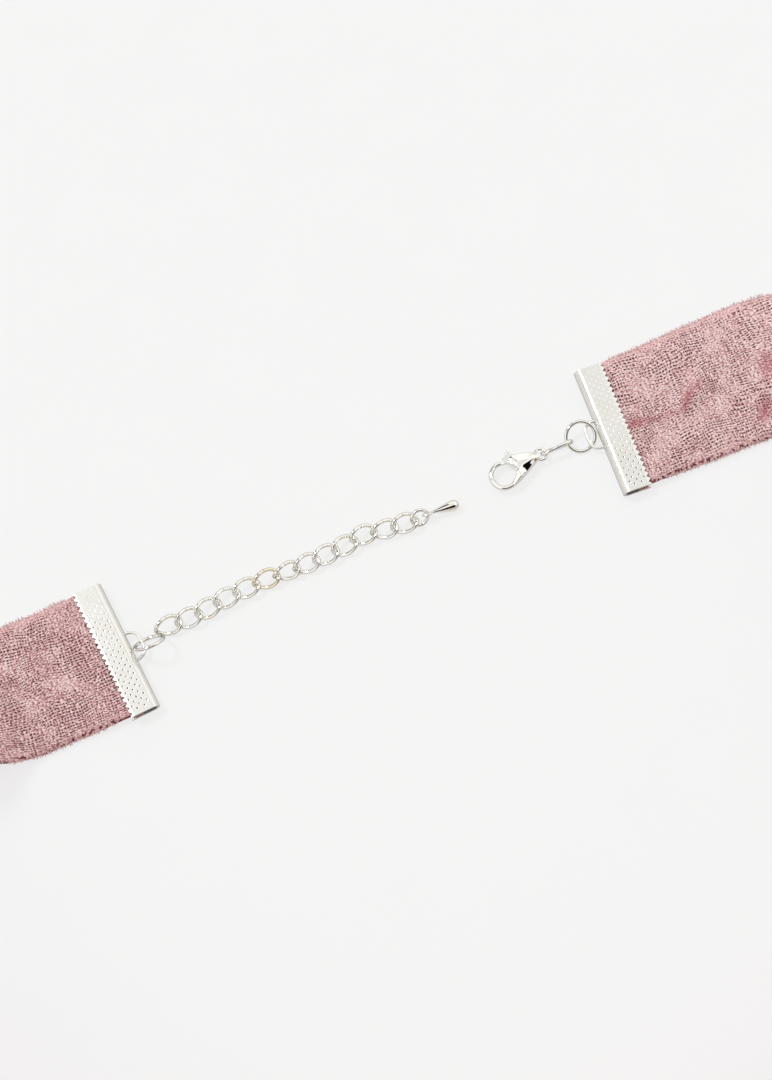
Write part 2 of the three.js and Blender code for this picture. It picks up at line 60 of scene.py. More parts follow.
camera_data.sensor_width = CAMERA_SENSOR
camera_data.clip_start = NEAREST_SEEN
camera = bpy.data.objects.new("camera", camera_data)
camera.location = PICTURE_MIDDLE + towards_camera * CAMERA_DISTANCE
camera.rotation_euler = (-towards_camera).to_track_quat("-Z", "Y").to_euler()
bpy.context.scene.collection.objects.link(camera)
bpy.context.scene.camera = camera
bpy.context.scene.view_settings.view_transform = "Standard"


# Table and studio. The choker lies on a white table top lit from below, under a white tent that is greyer
# straight overhead. Two black cards stand beside it, and the room shows under the tent in the polished wire.
def add(tree, kind, inputs=(), **settings):
    """A new node with its settings made and its inputs filled with values or joined to other nodes."""
    node = tree.nodes.new(kind)
    for name, value in settings.items():
        setattr(node, name, value)
    for key, value in dict(inputs).items():
        if isinstance(value, bpy.types.NodeSocket):
            tree.links.new(value, node.inputs[key])
        else:
            node.inputs[key].default_value = value
    return node


def sums(tree, operation, *values):
    """The result of one sum on values or other results."""
    return add(tree, "ShaderNodeMath", enumerate(values), operation=operation).outputs[0]


def between(tree, value, low, high, bottom=0.0, top=1.0):
    """A value eased from bottom to top as it goes from low to high."""
    sockets = {"Value": value, "From Min": low, "From Max": high, "To Min": bottom, "To Max": top}
    return add(tree, "ShaderNodeMapRange", sockets, interpolation_type="SMOOTHSTEP").outputs["Result"]


def mixed(tree, share, first, second):
    """A colour that goes over from the first to the second as its share goes from 0 to 1."""
    return add(tree, "ShaderNodeMix", {"Factor": share, 6: first, 7: second}, data_type="RGBA").outputs[2]


def in_millimetres(tree):
    """A place on the piece in millimetres, from its Object coordinates."""
    spot = add(tree, "ShaderNodeTexCoord").outputs["Object"]
    return add(tree, "ShaderNodeVectorMath", {0: spot, "Scale": 1000.0}, operation="SCALE").outputs[0]


def finish_named(name):
    """A new material, with its tree and its Principled shader."""
    material = bpy.data.materials.new(name)
    material.use_nodes = True
    return material, material.node_tree, material.node_tree.nodes["Principled BSDF"]


TABLE_SIZE = 4.0
TABLE_DROP = 0.00003
TABLE_PAINT = 0.18
TABLE_MOTTLE = 0.01
MOTTLE_SCALE = 90.0
TABLE_GLOW = 0.735
# How much dimmer the table shows in the metal's reflections: a painted shade.
TABLE_DIMMED = 0.2
half = TABLE_SIZE / 2
table_mesh = bpy.data.meshes.new("table_top")
table_corners = [(x * half, y * half, -TABLE_DROP) for x, y in ((-1, -1), (1, -1), (1, 1), (-1, 1))]
table_mesh.from_pydata(table_corners, [], [(0, 1, 2, 3)])
table_top = bpy.data.objects.new("table_top", table_mesh)
bpy.context.scene.collection.objects.link(table_top)
table_paint, tree, shader = finish_named("table_paint")
place = add(tree, "ShaderNodeTexCoord").outputs["Object"]
mottle = add(tree, "ShaderNodeTexNoise", {"Vector": place, "Scale": MOTTLE_SCALE}).outputs["Fac"]
# Painted shade: in glossy rays the table's paint and glow are dimmed, so the wires reflect a darker table.
mirrored = add(tree, "ShaderNodeLightPath").outputs["Is Glossy Ray"]
dimmed = sums(tree, "SUBTRACT", 1.0, sums(tree, "MULTIPLY", mirrored, TABLE_DIMMED))
paint = sums(tree, "MULTIPLY", dimmed, sums(tree, "MULTIPLY_ADD", mottle, TABLE_MOTTLE, TABLE_PAINT))
grey = add(tree, "ShaderNodeCombineColor", {i: paint for i in range(3)}).outputs[0]
tree.links.new(grey, shader.inputs["Base Color"])
shader.inputs["Roughness"].default_value = 0.95
shader.inputs["Specular IOR Level"].default_value = 0.0
shader.inputs["Emission Color"].default_value = (1, 1, 1, 1)
tree.links.new(sums(tree, "MULTIPLY", dimmed, TABLE_GLOW), shader.inputs["Emission Strength"])
table_mesh.materials.append(table_paint)

TENT_LIGHT = (1.06, 1.05, 1.03, 1)
PATCH_LIGHT = (0.80, 0.80, 0.785, 1)
ROOM_LIGHT = (0.78, 0.76, 0.70, 1)
CARD_LIGHT = (0.004, 0.004, 0.004, 1)
# Where each fades over into the next: nearness to straight overhead, then heights from 0, level, to 1, upright.
PATCH_EDGE = (0.955, 0.985)
ROOM_TOP = (0.36, 0.41)
CARD_FOOT = (0.40, 0.46)
CARD_FADE = 0.03
# The cards' middles, in degrees round the picture from its right, half their widths, and their tops' heights.
CARDS = ((146, 32, 0.89), (-58, 42, 0.97))


def picture_way(degrees):
    """The level direction that points this way in the picture."""
    turn = math.radians(degrees)
    return picture_right * math.cos(turn) + picture_up * math.sin(turn)


world = bpy.data.worlds.new("white_tent")
bpy.context.scene.world = world
world.use_nodes = True
tree = world.node_tree
tree.nodes.clear()
direction = add(tree, "ShaderNodeTexCoord").outputs["Generated"]
height = add(tree, "ShaderNodeSeparateXYZ", {0: direction}).outputs["Z"]
level = add(tree, "ShaderNodeVectorMath", {0: direction, 1: (1, 1, 0)}, operation="MULTIPLY").outputs[0]
level = add(tree, "ShaderNodeVectorMath", {0: level}, operation="NORMALIZE").outputs[0]
overhead = picture_up * math.cos(CAMERA_RISE) + Vector((0, 0, math.sin(CAMERA_RISE)))
upward = add(tree, "ShaderNodeVectorMath", {0: direction, 1: overhead}, operation="DOT_PRODUCT").outputs["Value"]
glow = mixed(tree, between(tree, upward, *PATCH_EDGE), TENT_LIGHT, PATCH_LIGHT)
glow = mixed(tree, between(tree, height, *ROOM_TOP, 1.0, 0.0), glow, ROOM_LIGHT)
for middle, reach, top in CARDS:
    side = add(tree, "ShaderNodeVectorMath", {0: level, 1: picture_way(middle)}, operation="DOT_PRODUCT")
    edge = math.cos(math.radians(reach))
    beside = between(tree, side.outputs["Value"], edge - CARD_FADE, edge + CARD_FADE)
    below = between(tree, height, top - CARD_FADE, top, 1.0, 0.0)
    card = sums(tree, "MULTIPLY", beside, sums(tree, "MULTIPLY", between(tree, height, *CARD_FOOT), below))
    glow = mixed(tree, card, glow, CARD_LIGHT)
background = add(tree, "ShaderNodeBackground", {"Color": glow})
add(tree, "ShaderNodeOutputWorld", {"Surface": background.outputs[0]})

SUN_LIGHT = 1.1
SUN_ANGLE = math.radians(14)
SUN_WAY = 150
SUN_SLANT = 0.75
sun = bpy.data.lights.new("window", "SUN")
sun.energy = SUN_LIGHT
sun.angle = SUN_ANGLE
window = bpy.data.objects.new("window", sun)
towards_window = picture_way(SUN_WAY) * SUN_SLANT + Vector((0, 0, 1))
window.rotation_euler = towards_window.to_track_quat("Z", "Y").to_euler()
bpy.context.scene.collection.objects.link(window)

# Ribbon. One 20 mm band of stretch velvet, cut raw along both edges and crushed with heat, so its pile lies
# every way and the knit's rows show through. Each end is folded into a crimp; between them it stands on edge.
MM = 0.001
CLASP_SPINE = Vector((38.927, 45.055, 0))
CHAIN_SPINE = Vector((-37.073, 43.155, 0))
RIBBON_LENGTH = 400
RIBBON_WIDTH = 20.2
RIBBON_THICKNESS = 1.0
RIBBON_FROM_SPINE = 2.0
RIBBON_HELD = 2.5
RIBBON_IN_CRIMP = 0.6
RIBBON_LEAN = math.radians(86)
FLAT_AT_CLASP = 20
FLAT_AT_CHAIN = 12
TWIST_LENGTH = 30
LIFT_LENGTH = 6.8
CREASE_HELD = 4.5
STRAIGHT_AT_CLASP = 24
RIBBON_ROWS = 560
RIBBON_COLUMNS = 30
# How its width changes: the change as a share, and where it starts and how far it runs in shares of the length.
RIBBON_SPREAD = ((0.05, 0.0, 0.06), (-0.05, 0.06, 0.12), (-0.015, 0.18, 0.75))
# The plan's rows: a straight run's name or an arc's turn in degrees, and an arc's radius as a share of the loop.
RIBBON_PLAN = (("start", 0), (18, 0.6), (98, 0.19), ("side", 0), (141, 1.0), (103, 0.19), ("end", 0))
# Creases pressed into the flat ends: end, place along and across in ribbon widths, length, width, slant, height.
CREASES = (
    ("clasp", 0.58, 0.02, 0.42, 0.07, 18, 0.55),
    ("clasp", 0.86, 0.18, 0.30, 0.06, -24, 0.40),
    ("clasp", 1.05, -0.20, 0.34, 0.08, 34, 0.35),
)
# Where the pile is crushed flat and shows the red of its roots: the same columns, the last one its strength.
CRUSHED = (
    ("clasp", 0.06, -0.035, 0.16, 0.035, 0, 1.2),
    ("clasp", 0.25, -0.06, 0.34, 0.028, -6, 0.7),
    ("clasp", 0.50, -0.01, 0.18, 0.032, 42, 1.1),
    ("clasp", 0.62, 0.06, 0.14, 0.04, 25, 0.6),
    ("clasp", 0.98, -0.32, 0.20, 0.05, 50, 1.0),
    ("clasp", 1.15, -0.03, 0.24, 0.05, 60, 0.9),
    ("chain", 0.30, 0.30, 0.30, 0.08, 10, 0.3),
    ("chain", 0.75, -0.25, 0.34, 0.08, -14, 0.3),
)


def eased(value):
    """A share from 0 to 1, eased at both ends."""
    share = np.clip(value, 0, 1)
    return share * share * (3 - 2 * share)


def ribbon_path(along):
    """Places and headings on the ribbon's middle line, which is solved to have its length and meet both crimps."""
    start = np.array([CLASP_SPINE.x + RIBBON_FROM_SPINE, CLASP_SPINE.y])
    end = np.array([CHAIN_SPINE.x - RIBBON_FROM_SPINE, CHAIN_SPINE.y])
    arcs, runs, heading = np.zeros(3), {}, 0.0
    for kind, share in RIBBON_PLAN:
        if isinstance(kind, str):
            runs[kind] = np.array([math.cos(heading), math.sin(heading), 1])
            continue
        turned = heading - math.radians(kind)
        arcs += share * np.array([math.sin(heading) - math.sin(turned), math.cos(turned) - math.cos(heading),
                                  heading - turned])
        heading = turned
    wanted = np.append(end - start, RIBBON_LENGTH) - runs["start"] * STRAIGHT_AT_CLASP
    size, side_run, end_run = np.linalg.solve(np.stack([arcs, runs["side"], runs["end"]], 1), wanted)
    lengths = {"start": STRAIGHT_AT_CLASP, "side": side_run, "end": end_run}
    places, headings = np.zeros((len(along), 2)), np.zeros(len(along))
    here, heading, passed = start, 0.0, 0.0
    for kind, share in RIBBON_PLAN:
        straight = isinstance(kind, str)
        length = lengths[kind] if straight else math.radians(kind) * share * size
        last = kind == "end"
        on = (along >= passed) & ((along <= passed + length) | last)
        run = np.append(along[on] - passed, length)
        if straight:
            turned = np.full(len(run), heading)
            spot = here + run[:, None] * np.array([math.cos(heading), math.sin(heading)])
        else:
            radius = share * size
            turned = heading - run / radius
            moved = np.stack([math.sin(heading) - np.sin(turned), np.cos(turned) - math.cos(heading)], 1)
            spot = here + radius * moved
        places[on], headings[on] = spot[:-1], turned[:-1]
        here, heading, passed = spot[-1], turned[-1], passed + length
    return places, headings


def pressed(rows, along, across):
    """How much the listed marks press or raise each place on the ribbon."""
    total = np.zeros(np.broadcast(along, across).shape)
    for end, place, side_place, length, width, slant, amount in rows:
        from_end = along if end == "clasp" else RIBBON_LENGTH - along
        x = (from_end - RIBBON_HELD) / RIBBON_WIDTH - place
        y = across / RIBBON_WIDTH - side_place
        turn = math.radians(slant)
        lengthwise = (x * math.cos(turn) + y * math.sin(turn)) / length
        crosswise = (y * math.cos(turn) - x * math.sin(turn)) / width
        total = total + amount * np.exp(-((2 * lengthwise) ** 2) - crosswise ** 2)
    return total


def rough(along, across, size, seed):
    """Smooth random relief over the ribbon, from -1 to 1, with lumps of one size."""
    flat = [noise.noise(Vector((a / size, b / size, seed))) for a, b in zip(along.ravel(), across.ravel())]
    return np.array(flat).reshape(along.shape)


def ribbon_surface(along, share, above):
    """Points on the ribbon: share runs from -1 to 1 across it, and above is the height over its back."""
    places, headings = ribbon_path(along[:, 0])
    left = RIBBON_LENGTH - along
    near_end = np.minimum(along, left)
    rise = eased((along - RIBBON_HELD - FLAT_AT_CLASP) / TWIST_LENGTH)
    fall = eased((left - RIBBON_HELD - FLAT_AT_CHAIN) / TWIST_LENGTH)
    lean = RIBBON_LEAN * rise * fall
    lift = RIBBON_IN_CRIMP * (1 - eased((near_end - RIBBON_HELD) / LIFT_LENGTH))
    spread = 1 + sum(change * eased((along / RIBBON_LENGTH - start) / run) for change, start, run in RIBBON_SPREAD)
    half_width = RIBBON_WIDTH * spread / 2
    inward = np.stack([np.sin(headings), -np.cos(headings)], 1)[:, None, :]
    offset = half_width * share
    crease = pressed(CREASES, along, -offset) * (1 - rise) * eased((near_end - RIBBON_HELD) / CREASE_HELD)
    above = above + crease * RIBBON_THICKNESS
    plane = places[:, None, :] + inward * (np.cos(lean) * offset - np.sin(lean) * above)[..., None]
    up = lift + half_width * np.sin(lean) + np.sin(lean) * offset + np.cos(lean) * above
    return np.concatenate([plane, up[..., None]], 2) * MM


def closed_mesh(name, points, faces):
    """A mesh of points and faces, turned so that its faces point outwards."""
    mesh = bpy.data.meshes.new(name)
    corners = np.asarray(points, float)
    volume = 0.0
    for face in faces:
        for i in range(1, len(face) - 1):
            volume += np.dot(corners[face[0]], np.cross(corners[face[i]], corners[face[i + 1]]))
    mesh.from_pydata(corners.tolist(), [], [list(face) if volume > 0 else list(face)[::-1] for face in faces])
    mesh.validate()
    mesh.shade_smooth()
    return mesh


def placed(name, mesh, material=None):
    """The mesh as an object of the scene at the origin."""
    piece = bpy.data.objects.new(name, mesh)
    bpy.context.scene.collection.objects.link(piece)
    if material:
        mesh.materials.append(material)
    return piece


def tube_faces(rings, count, joined=False):
    """Faces between rings of points, with the ends closed or joined to each other."""
    faces = []
    for i in range(rings if joined else rings - 1):
        here, ahead = i * count, (i + 1) % rings * count
        faces += [(here + j, ahead + j, ahead + (j + 1) % count, here + (j + 1) % count) for j in range(count)]
    if not joined:
        faces += [tuple(range(count))[::-1], tuple(range((rings - 1) * count, rings * count))]
    return faces


# Heights over the back, in millimetres or as shares of the thickness, and what makes the pile and edges uneven.
BACK_HEIGHT = 0.05
PILE_SHARE = 0.94
EDGE_SHARE = 0.42
EDGE_BULGE = 1.012
EDGE_THINNED = 0.3
EDGE_WAVE = 0.22
PILE_WAVE = 0.14
PILE_LUMPS = ((2.6, 3.0, 0.6), (0.9, 8.0, 0.4))
columns = np.linspace(-1, 1, RIBBON_COLUMNS + 1)
ring_share = np.concatenate([columns, [1.0], columns[::-1], [-1.0]])
on_pile = np.concatenate([np.zeros(RIBBON_COLUMNS + 1), [0.5], np.ones(RIBBON_COLUMNS + 1), [0.5]])
along = np.repeat(np.linspace(0, RIBBON_LENGTH, RIBBON_ROWS)[:, None], len(ring_share), 1)
share = np.repeat(ring_share[None, :], RIBBON_ROWS, 0)
across = share * RIBBON_WIDTH / 2
free = eased((np.minimum(along, RIBBON_LENGTH - along) - RIBBON_HELD) / 2)
lumps = sum(rough(along, across, size, seed) * amount for size, seed, amount in PILE_LUMPS)
fray = rough(along, np.sign(share) * 50, 1.1, 21.0) * EDGE_WAVE / RIBBON_WIDTH
thin_edge = 1 - EDGE_THINNED * np.abs(share) ** 10 * free
pile_height = (RIBBON_THICKNESS * PILE_SHARE + PILE_WAVE * lumps * free) * thin_edge
above = np.where(on_pile == 1, pile_height, np.where(on_pile == 0, BACK_HEIGHT, RIBBON_THICKNESS * EDGE_SHARE))
bulge = np.where(on_pile == 0.5, EDGE_BULGE, 1.0)
ribbon_points = ribbon_surface(along, share * (bulge + fray * np.abs(share) ** 6 * free), above)
ribbon_points[..., 2] = np.maximum(ribbon_points[..., 2], 0)
ribbon_mesh = closed_mesh("velvet_ribbon", ribbon_points.reshape(-1, 3), tube_faces(RIBBON_ROWS, len(ring_share)))
cloth_map = ribbon_mesh.uv_layers.new(name="cloth")
corner_of = np.zeros(len(ribbon_mesh.loops), int)
ribbon_mesh.loops.foreach_get("vertex_index", corner_of)
cloth_map.data.foreach_set("uv", np.stack([across.ravel()[corner_of], along.ravel()[corner_of]], 1).ravel())
for mark_name, values in (("pile", on_pile[None, :] + 0 * along), ("crushed", pressed(CRUSHED, along, -across))):
    mark = ribbon_mesh.attributes.new(mark_name, "FLOAT", "POINT")
    mark.data.foreach_set("value", values.ravel().astype(np.float32))

# How the rows drift: size and reach of each wave, in millimetres.
ROW_DRIFTS = ((13.0, 5.0), (2.6, 0.38), (0.7, 0.08))
# What the fibres, strands, rows, painted shade in the gaps between stitches, painted sheen from the lie of the pile,
# and crushing add to the pile's tone.
PILE_TONE = 0.752
FIBRE_TONE, STRAND_TONE, ROW_TONE, GAP_SHADE_TONE, SHEEN_PATCH_TONE, CRUSHED_TONE = 2.75, 0.6, -0.035, -1.35, 0.5, -0.17
# The chain's end is a little darker, a painted shade where its pile lies away from the light, from one place along the
# cloth to the other.
DARKER_END, DARKER_TONE = (200, 320), -0.075
# The colours from the painted shade between the stitches to the painted highlights on the bright tips of the pile, and
# of the pile's roots.
PILE_COLOURS = ((0.0, (0.10, 0.03, 0.04, 1)), (0.34, (0.34, 0.145, 0.155, 1)), (0.66, (0.69, 0.415, 0.42, 1)),
                (1.0, (0.92, 0.76, 0.75, 1)))
ROOT_COLOUR = (0.48, 0.13, 0.16, 1)
# The knit group turns a place on the cloth, in millimetres, into the colour and height of crushed velvet, its colour
# with painted shade between the stitches and painted sheen over the pile.
knit = bpy.data.node_groups.new("crushed_knit", "ShaderNodeTree")
for socket, kind, default in (("Place", "NodeSocketVector", None), ("Course", "NodeSocketFloat", 0.46),
                              ("Wale", "NodeSocketFloat", 0.43), ("Crushed", "NodeSocketFloat", 0.0),
                              ("Nap", "NodeSocketFloat", 1.0)):
    made = knit.interface.new_socket(socket, in_out="INPUT", socket_type=kind)
    if default is not None:
        made.default_value = default
knit.interface.new_socket("Colour", in_out="OUTPUT", socket_type="NodeSocketColor")
knit.interface.new_socket("Height", in_out="OUTPUT", socket_type="NodeSocketFloat")
given = knit.nodes.new("NodeGroupInput").outputs
place = given["Place"]


def cloth_noise(size, detail=2.0, stretch=(1, 1, 1)):
    """Noise on the cloth with lumps of a size in millimetres."""
    scaled = add(knit, "ShaderNodeVectorMath", {0: place, 1: stretch}, operation="MULTIPLY").outputs[0]
    return add(knit, "ShaderNodeTexNoise", {"Vector": scaled, "Scale": 1 / size, "Detail": detail})


def drifted(start, size, reach):
    """A place moved about by noise, which bends the rows of the knit."""
    wave = cloth_noise(size).outputs["Color"]
    moved = add(knit, "ShaderNodeVectorMath", {0: wave, 1: (0.5, 0.5, 0.5)}, operation="SUBTRACT")
    moved = add(knit, "ShaderNodeVectorMath", {0: moved.outputs[0], "Scale": reach}, operation="SCALE")
    return add(knit, "ShaderNodeVectorMath", {0: start, 1: moved.outputs[0]}, operation="ADD").outputs[0]


drift = place
for size, reach in ROW_DRIFTS:
    drift = drifted(drift, size, reach)
rows = add(knit, "ShaderNodeSeparateXYZ", {0: drift}).outputs
pitch = add(knit, "ShaderNodeCombineXYZ", {0: given["Wale"], 1: given["Course"], 2: 1.0}).outputs[0]
stitch = add(knit, "ShaderNodeVectorMath", {0: drift, 1: pitch}, operation="DIVIDE").outputs[0]
cell = add(knit, "ShaderNodeVectorMath", {0: stitch}, operation="FLOOR").outputs[0]
own = add(knit, "ShaderNodeTexWhiteNoise", {"Vector": cell}, noise_dimensions="2D").outputs["Value"]
in_cell = add(knit, "ShaderNodeVectorMath", {0: stitch}, operation="FRACTION").outputs[0]
in_cell = add(knit, "ShaderNodeSeparateXYZ", {0: in_cell}).outputs
wale = sums(knit, "ABSOLUTE", sums(knit, "SUBTRACT", in_cell["X"], 0.5))
course = sums(knit, "ABSOLUTE", sums(knit, "SUBTRACT", in_cell["Y"], 0.5))
# Painted shade: the gaps between stitches, where the pile parts, are darkened.
gaps = sums(knit, "MULTIPLY", between(knit, wale, 0.12, 0.28, 1.0, 0.0), between(knit, course, 0.2, 0.4, 1.0, 0.0))
shown = between(knit, cloth_noise(4.5, 3.0).outputs["Fac"], 0.38, 0.6, 0.15, 1.0)
gaps = sums(knit, "MULTIPLY", sums(knit, "MULTIPLY", gaps, shown), between(knit, own, 0.0, 0.9, 0.1, 1.15))
lines = sums(knit, "ADD", between(knit, wale, 0.2, 0.48, 1.0, -1.0), between(knit, course, 0.1, 0.48, 0.7, -0.7))
fibres = cloth_noise(0.27, 3.0, (1.5, 0.7, 1)).outputs["Fac"]
strands = cloth_noise(0.6, 2.0, (0.5, 1.8, 1)).outputs["Fac"]
# Painted sheen: patches a few millimetres across, lighter where the pile lies to catch the light and darker where it
# lies away.
sheen_patches = sums(knit, "SUBTRACT", cloth_noise(3.0, 3.0).outputs["Fac"], 0.5)
along_cloth = add(knit, "ShaderNodeSeparateXYZ", {0: place}).outputs["Y"]
tone = PILE_TONE
for value, weight in ((sums(knit, "SUBTRACT", fibres, 0.5), FIBRE_TONE),
                      (sums(knit, "SUBTRACT", strands, 0.5), STRAND_TONE),
                      (sums(knit, "MULTIPLY", lines, shown), ROW_TONE), (gaps, GAP_SHADE_TONE), (sheen_patches, SHEEN_PATCH_TONE),
                      (given["Crushed"], CRUSHED_TONE)):
    tone = sums(knit, "MULTIPLY_ADD", value, weight, tone)
# Painted shade over the chain's end.
tone = sums(knit, "ADD", between(knit, along_cloth, *DARKER_END, 0.0, DARKER_TONE), tone)
ramp = add(knit, "ShaderNodeValToRGB", {0: tone})
stops = ramp.color_ramp.elements
stops[0].color, stops[1].color = PILE_COLOURS[0][1], PILE_COLOURS[-1][1]
for spot, colour in PILE_COLOURS[1:-1]:
    stops.new(spot).color = colour
crushed_flat = sums(knit, "MULTIPLY", between(knit, given["Crushed"], 0.1, 1.0), 0.5)
rooted = mixed(knit, crushed_flat, ramp.outputs["Color"], ROOT_COLOUR)
relief = sums(knit, "MULTIPLY_ADD", gaps, -0.9, sums(knit, "MULTIPLY", fibres, given["Nap"]))
add(knit, "NodeGroupOutput", {"Colour": rooted, "Height": relief})


PILE_RELIEF = 0.00012
SELVAGE_COLOUR = (0.80, 0.50, 0.50, 1)
FLECK_COLOUR = (0.17, 0.035, 0.05, 1)
BACK_COLOUR = (0.42, 0.19, 0.2, 1)


def velvet_named(name, place_from, nap, roughness):
    """A velvet finish: the knit group in a soft shader with sheen, its relief in a bump."""
    material, tree, shader = finish_named(name)
    marks = add(tree, "ShaderNodeAttribute", attribute_name="crushed").outputs["Fac"]
    group = add(tree, "ShaderNodeGroup", node_tree=knit)
    tree.links.new(place_from(tree), group.inputs["Place"])
    tree.links.new(marks, group.inputs["Crushed"])
    group.inputs["Nap"].default_value = nap
    bump = add(tree, "ShaderNodeBump", {"Height": group.outputs["Height"], "Strength": 0.55,
                                        "Distance": PILE_RELIEF})
    tree.links.new(bump.outputs["Normal"], shader.inputs["Normal"])
    shader.inputs["Roughness"].default_value = roughness
    shader.inputs["Specular IOR Level"].default_value = 0.25
    shader.inputs["Sheen Weight"].default_value = 0.12
    shader.inputs["Sheen Roughness"].default_value = 0.5
    shader.inputs["Sheen Tint"].default_value = (1.0, 0.86, 0.86, 1)
    return material, tree, shader, group


velvet, tree, shader, group = velvet_named(
    "crushed_velvet", lambda tree: add(tree, "ShaderNodeUVMap", uv_map="cloth").outputs["UV"], 1.0, 0.9)
cloth_place = group.inputs["Place"].links[0].from_socket
across_cloth = add(tree, "ShaderNodeSeparateXYZ", {0: cloth_place}).outputs["X"]
ribbon_edge = RIBBON_WIDTH / 2
selvage = between(tree, sums(tree, "ABSOLUTE", across_cloth), ribbon_edge - 1.3, ribbon_edge - 0.2)
paler = mixed(tree, sums(tree, "MULTIPLY", selvage, 0.5), group.outputs["Colour"], SELVAGE_COLOUR)
flecks = add(tree, "ShaderNodeTexNoise", {"Vector": cloth_place, "Scale": 1.9, "Detail": 1.5}).outputs["Fac"]
at_edge = between(tree, across_cloth, ribbon_edge - 0.75, ribbon_edge - 0.35)
paler = mixed(tree, sums(tree, "MULTIPLY", between(tree, flecks, 0.46, 0.58), at_edge), paler, FLECK_COLOUR)
pile_side = add(tree, "ShaderNodeAttribute", attribute_name="pile").outputs["Fac"]
back = mixed(tree, sums(tree, "SUBTRACT", 1.0, pile_side), paler, BACK_COLOUR)
tree.links.new(back, shader.inputs["Base Color"])
ribbon = placed("velvet_ribbon", ribbon_mesh, velvet)
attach(ribbon, "choker")
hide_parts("ribbon")

# Frayed edges. The velvet was slit, not woven to width, so short ends of its pile and ground threads stand
# out along both edges, paler than the face because light comes through them.
FRAY_GAP = 0.07
FRAY_LENGTH = 0.55
FRAY_THICK = 0.05
FRAY_LOWEST = 0.03
FRAY_HEIGHT = 0.62
FRAY_SPREAD = 0.6
FRAY_SEED = 4
FRAY_COLOUR = (0.84, 0.60, 0.60, 1)
# Where the strands start and which way they point: places across the ribbon, as shares of its half width.
FRAY_ROOT, FRAY_BEYOND = 0.985, 1.1
fray_end = RIBBON_HELD + 2
fray_count = int((RIBBON_LENGTH - 2 * fray_end) / FRAY_GAP)
fray_along = np.linspace(fray_end, RIBBON_LENGTH - fray_end, fray_count)[:, None]
fray_points, fray_ways = [], []
for sign in (-1.0, 1.0):
    raised = np.full_like(fray_along, FRAY_HEIGHT)
    root, beyond = [ribbon_surface(fray_along, np.full_like(fray_along, sign * reach), raised)
                    for reach in (FRAY_ROOT, FRAY_BEYOND)]
    fray_points.append(root[:, 0])
    fray_ways.append(beyond[:, 0] - root[:, 0])
fray_mesh = bpy.data.meshes.new("frayed_edges")
fray_mesh.from_pydata(np.concatenate(fray_points).tolist(), [], [])
way = fray_mesh.attributes.new("way", "FLOAT_VECTOR", "POINT")
way.data.foreach_set("vector", np.concatenate(fray_ways).ravel())


def tree_for(name, inputs):
    """A new Geometry Nodes tree with named inputs, and what its group input gives."""
    made = bpy.data.node_groups.new(name, "GeometryNodeTree")
    made.interface.new_socket("Geometry", in_out="INPUT", socket_type="NodeSocketGeometry")
    for socket, kind in inputs:
        made.interface.new_socket(socket, in_out="INPUT", socket_type=kind)
    made.interface.new_socket("Geometry", in_out="OUTPUT", socket_type="NodeSocketGeometry")
    return made, made.nodes.new("NodeGroupInput").outputs


def taken_from(piece):
    """The plain mesh that an object's modifiers make of it."""
    bpy.context.view_layer.update()
    return bpy.data.meshes.new_from_object(piece.evaluated_get(bpy.context.evaluated_depsgraph_get()))


def grown(piece, made, values):
    """The plain mesh that a Geometry Nodes tree makes on a piece with these values of its inputs."""
    modifier = piece.modifiers.new(made.name, "NODES")
    modifier.node_group = made
    sockets = {item.name: item.identifier for item in made.interface.items_tree if item.in_out == "INPUT"}
    for name, value in values.items():
        modifier[sockets[name]] = value
    mesh, old = taken_from(piece), piece.data
    piece.modifiers.remove(modifier)
    piece.data = mesh
    bpy.data.meshes.remove(old)


FLOAT, INTEGER = "NodeSocketFloat", "NodeSocketInt"
fringe, given = tree_for("pile_ends", (("Length", FLOAT), ("Thickness", FLOAT), ("Spread", FLOAT),
                                       ("Seed", INTEGER), ("Finish", "NodeSocketMaterial")))
strand = add(fringe, "GeometryNodeCurvePrimitiveBezierSegment", {
    "Resolution": 2, "Start": (0, 0, 0), "Start Handle": (0, 0, 0.4), "End Handle": (0, 0.1, 0.8),
    "End": (0, 0.25, 1.0)})
thread = add(fringe, "GeometryNodeCurvePrimitiveCircle", {"Resolution": 3, "Radius": given["Thickness"]}, mode="RADIUS")
strand_size = add(fringe, "ShaderNodeCombineXYZ", {i: given["Length"] for i in range(3)})
strand_bent = add(fringe, "GeometryNodeTransform", {"Geometry": strand.outputs[0], "Scale": strand_size.outputs[0]})
strand_body = add(fringe, "GeometryNodeCurveToMesh", {
    "Curve": strand_bent.outputs[0], "Profile Curve": thread.outputs[0], "Fill Caps": True})
outward = add(fringe, "GeometryNodeInputNamedAttribute", {"Name": "way"}, data_type="FLOAT_VECTOR").outputs[0]
turned = add(fringe, "FunctionNodeAlignRotationToVector", {"Vector": outward}, axis="Z")
strew = add(fringe, "FunctionNodeRandomValue", {"Seed": given["Seed"]}, data_type="FLOAT_VECTOR")
strew.inputs[0].default_value = (-1, -1, -3)
strew.inputs[1].default_value = (1, 1, 3)
strewn = add(fringe, "ShaderNodeVectorMath", {0: strew.outputs[0], "Scale": given["Spread"]}, operation="SCALE")
spin = add(fringe, "FunctionNodeRotateRotation", {0: turned.outputs[0], 1: strewn.outputs[0]}, rotation_space="LOCAL")
sizes = add(fringe, "FunctionNodeRandomValue", {"Seed": given["Seed"]}, data_type="FLOAT")
sizes.inputs[2].default_value = 0.45
sizes.inputs[3].default_value = 1.25
strewn_strands = add(fringe, "GeometryNodeInstanceOnPoints", {
    "Points": given["Geometry"], "Instance": strand_body.outputs[0], "Rotation": spin.outputs[0],
    "Scale": sizes.outputs[1]})
real = add(fringe, "GeometryNodeRealizeInstances", {0: strewn_strands.outputs[0]})
painted = add(fringe, "GeometryNodeSetMaterial", {"Geometry": real.outputs[0], "Material": given["Finish"]})
add(fringe, "NodeGroupOutput", {0: painted.outputs[0]})

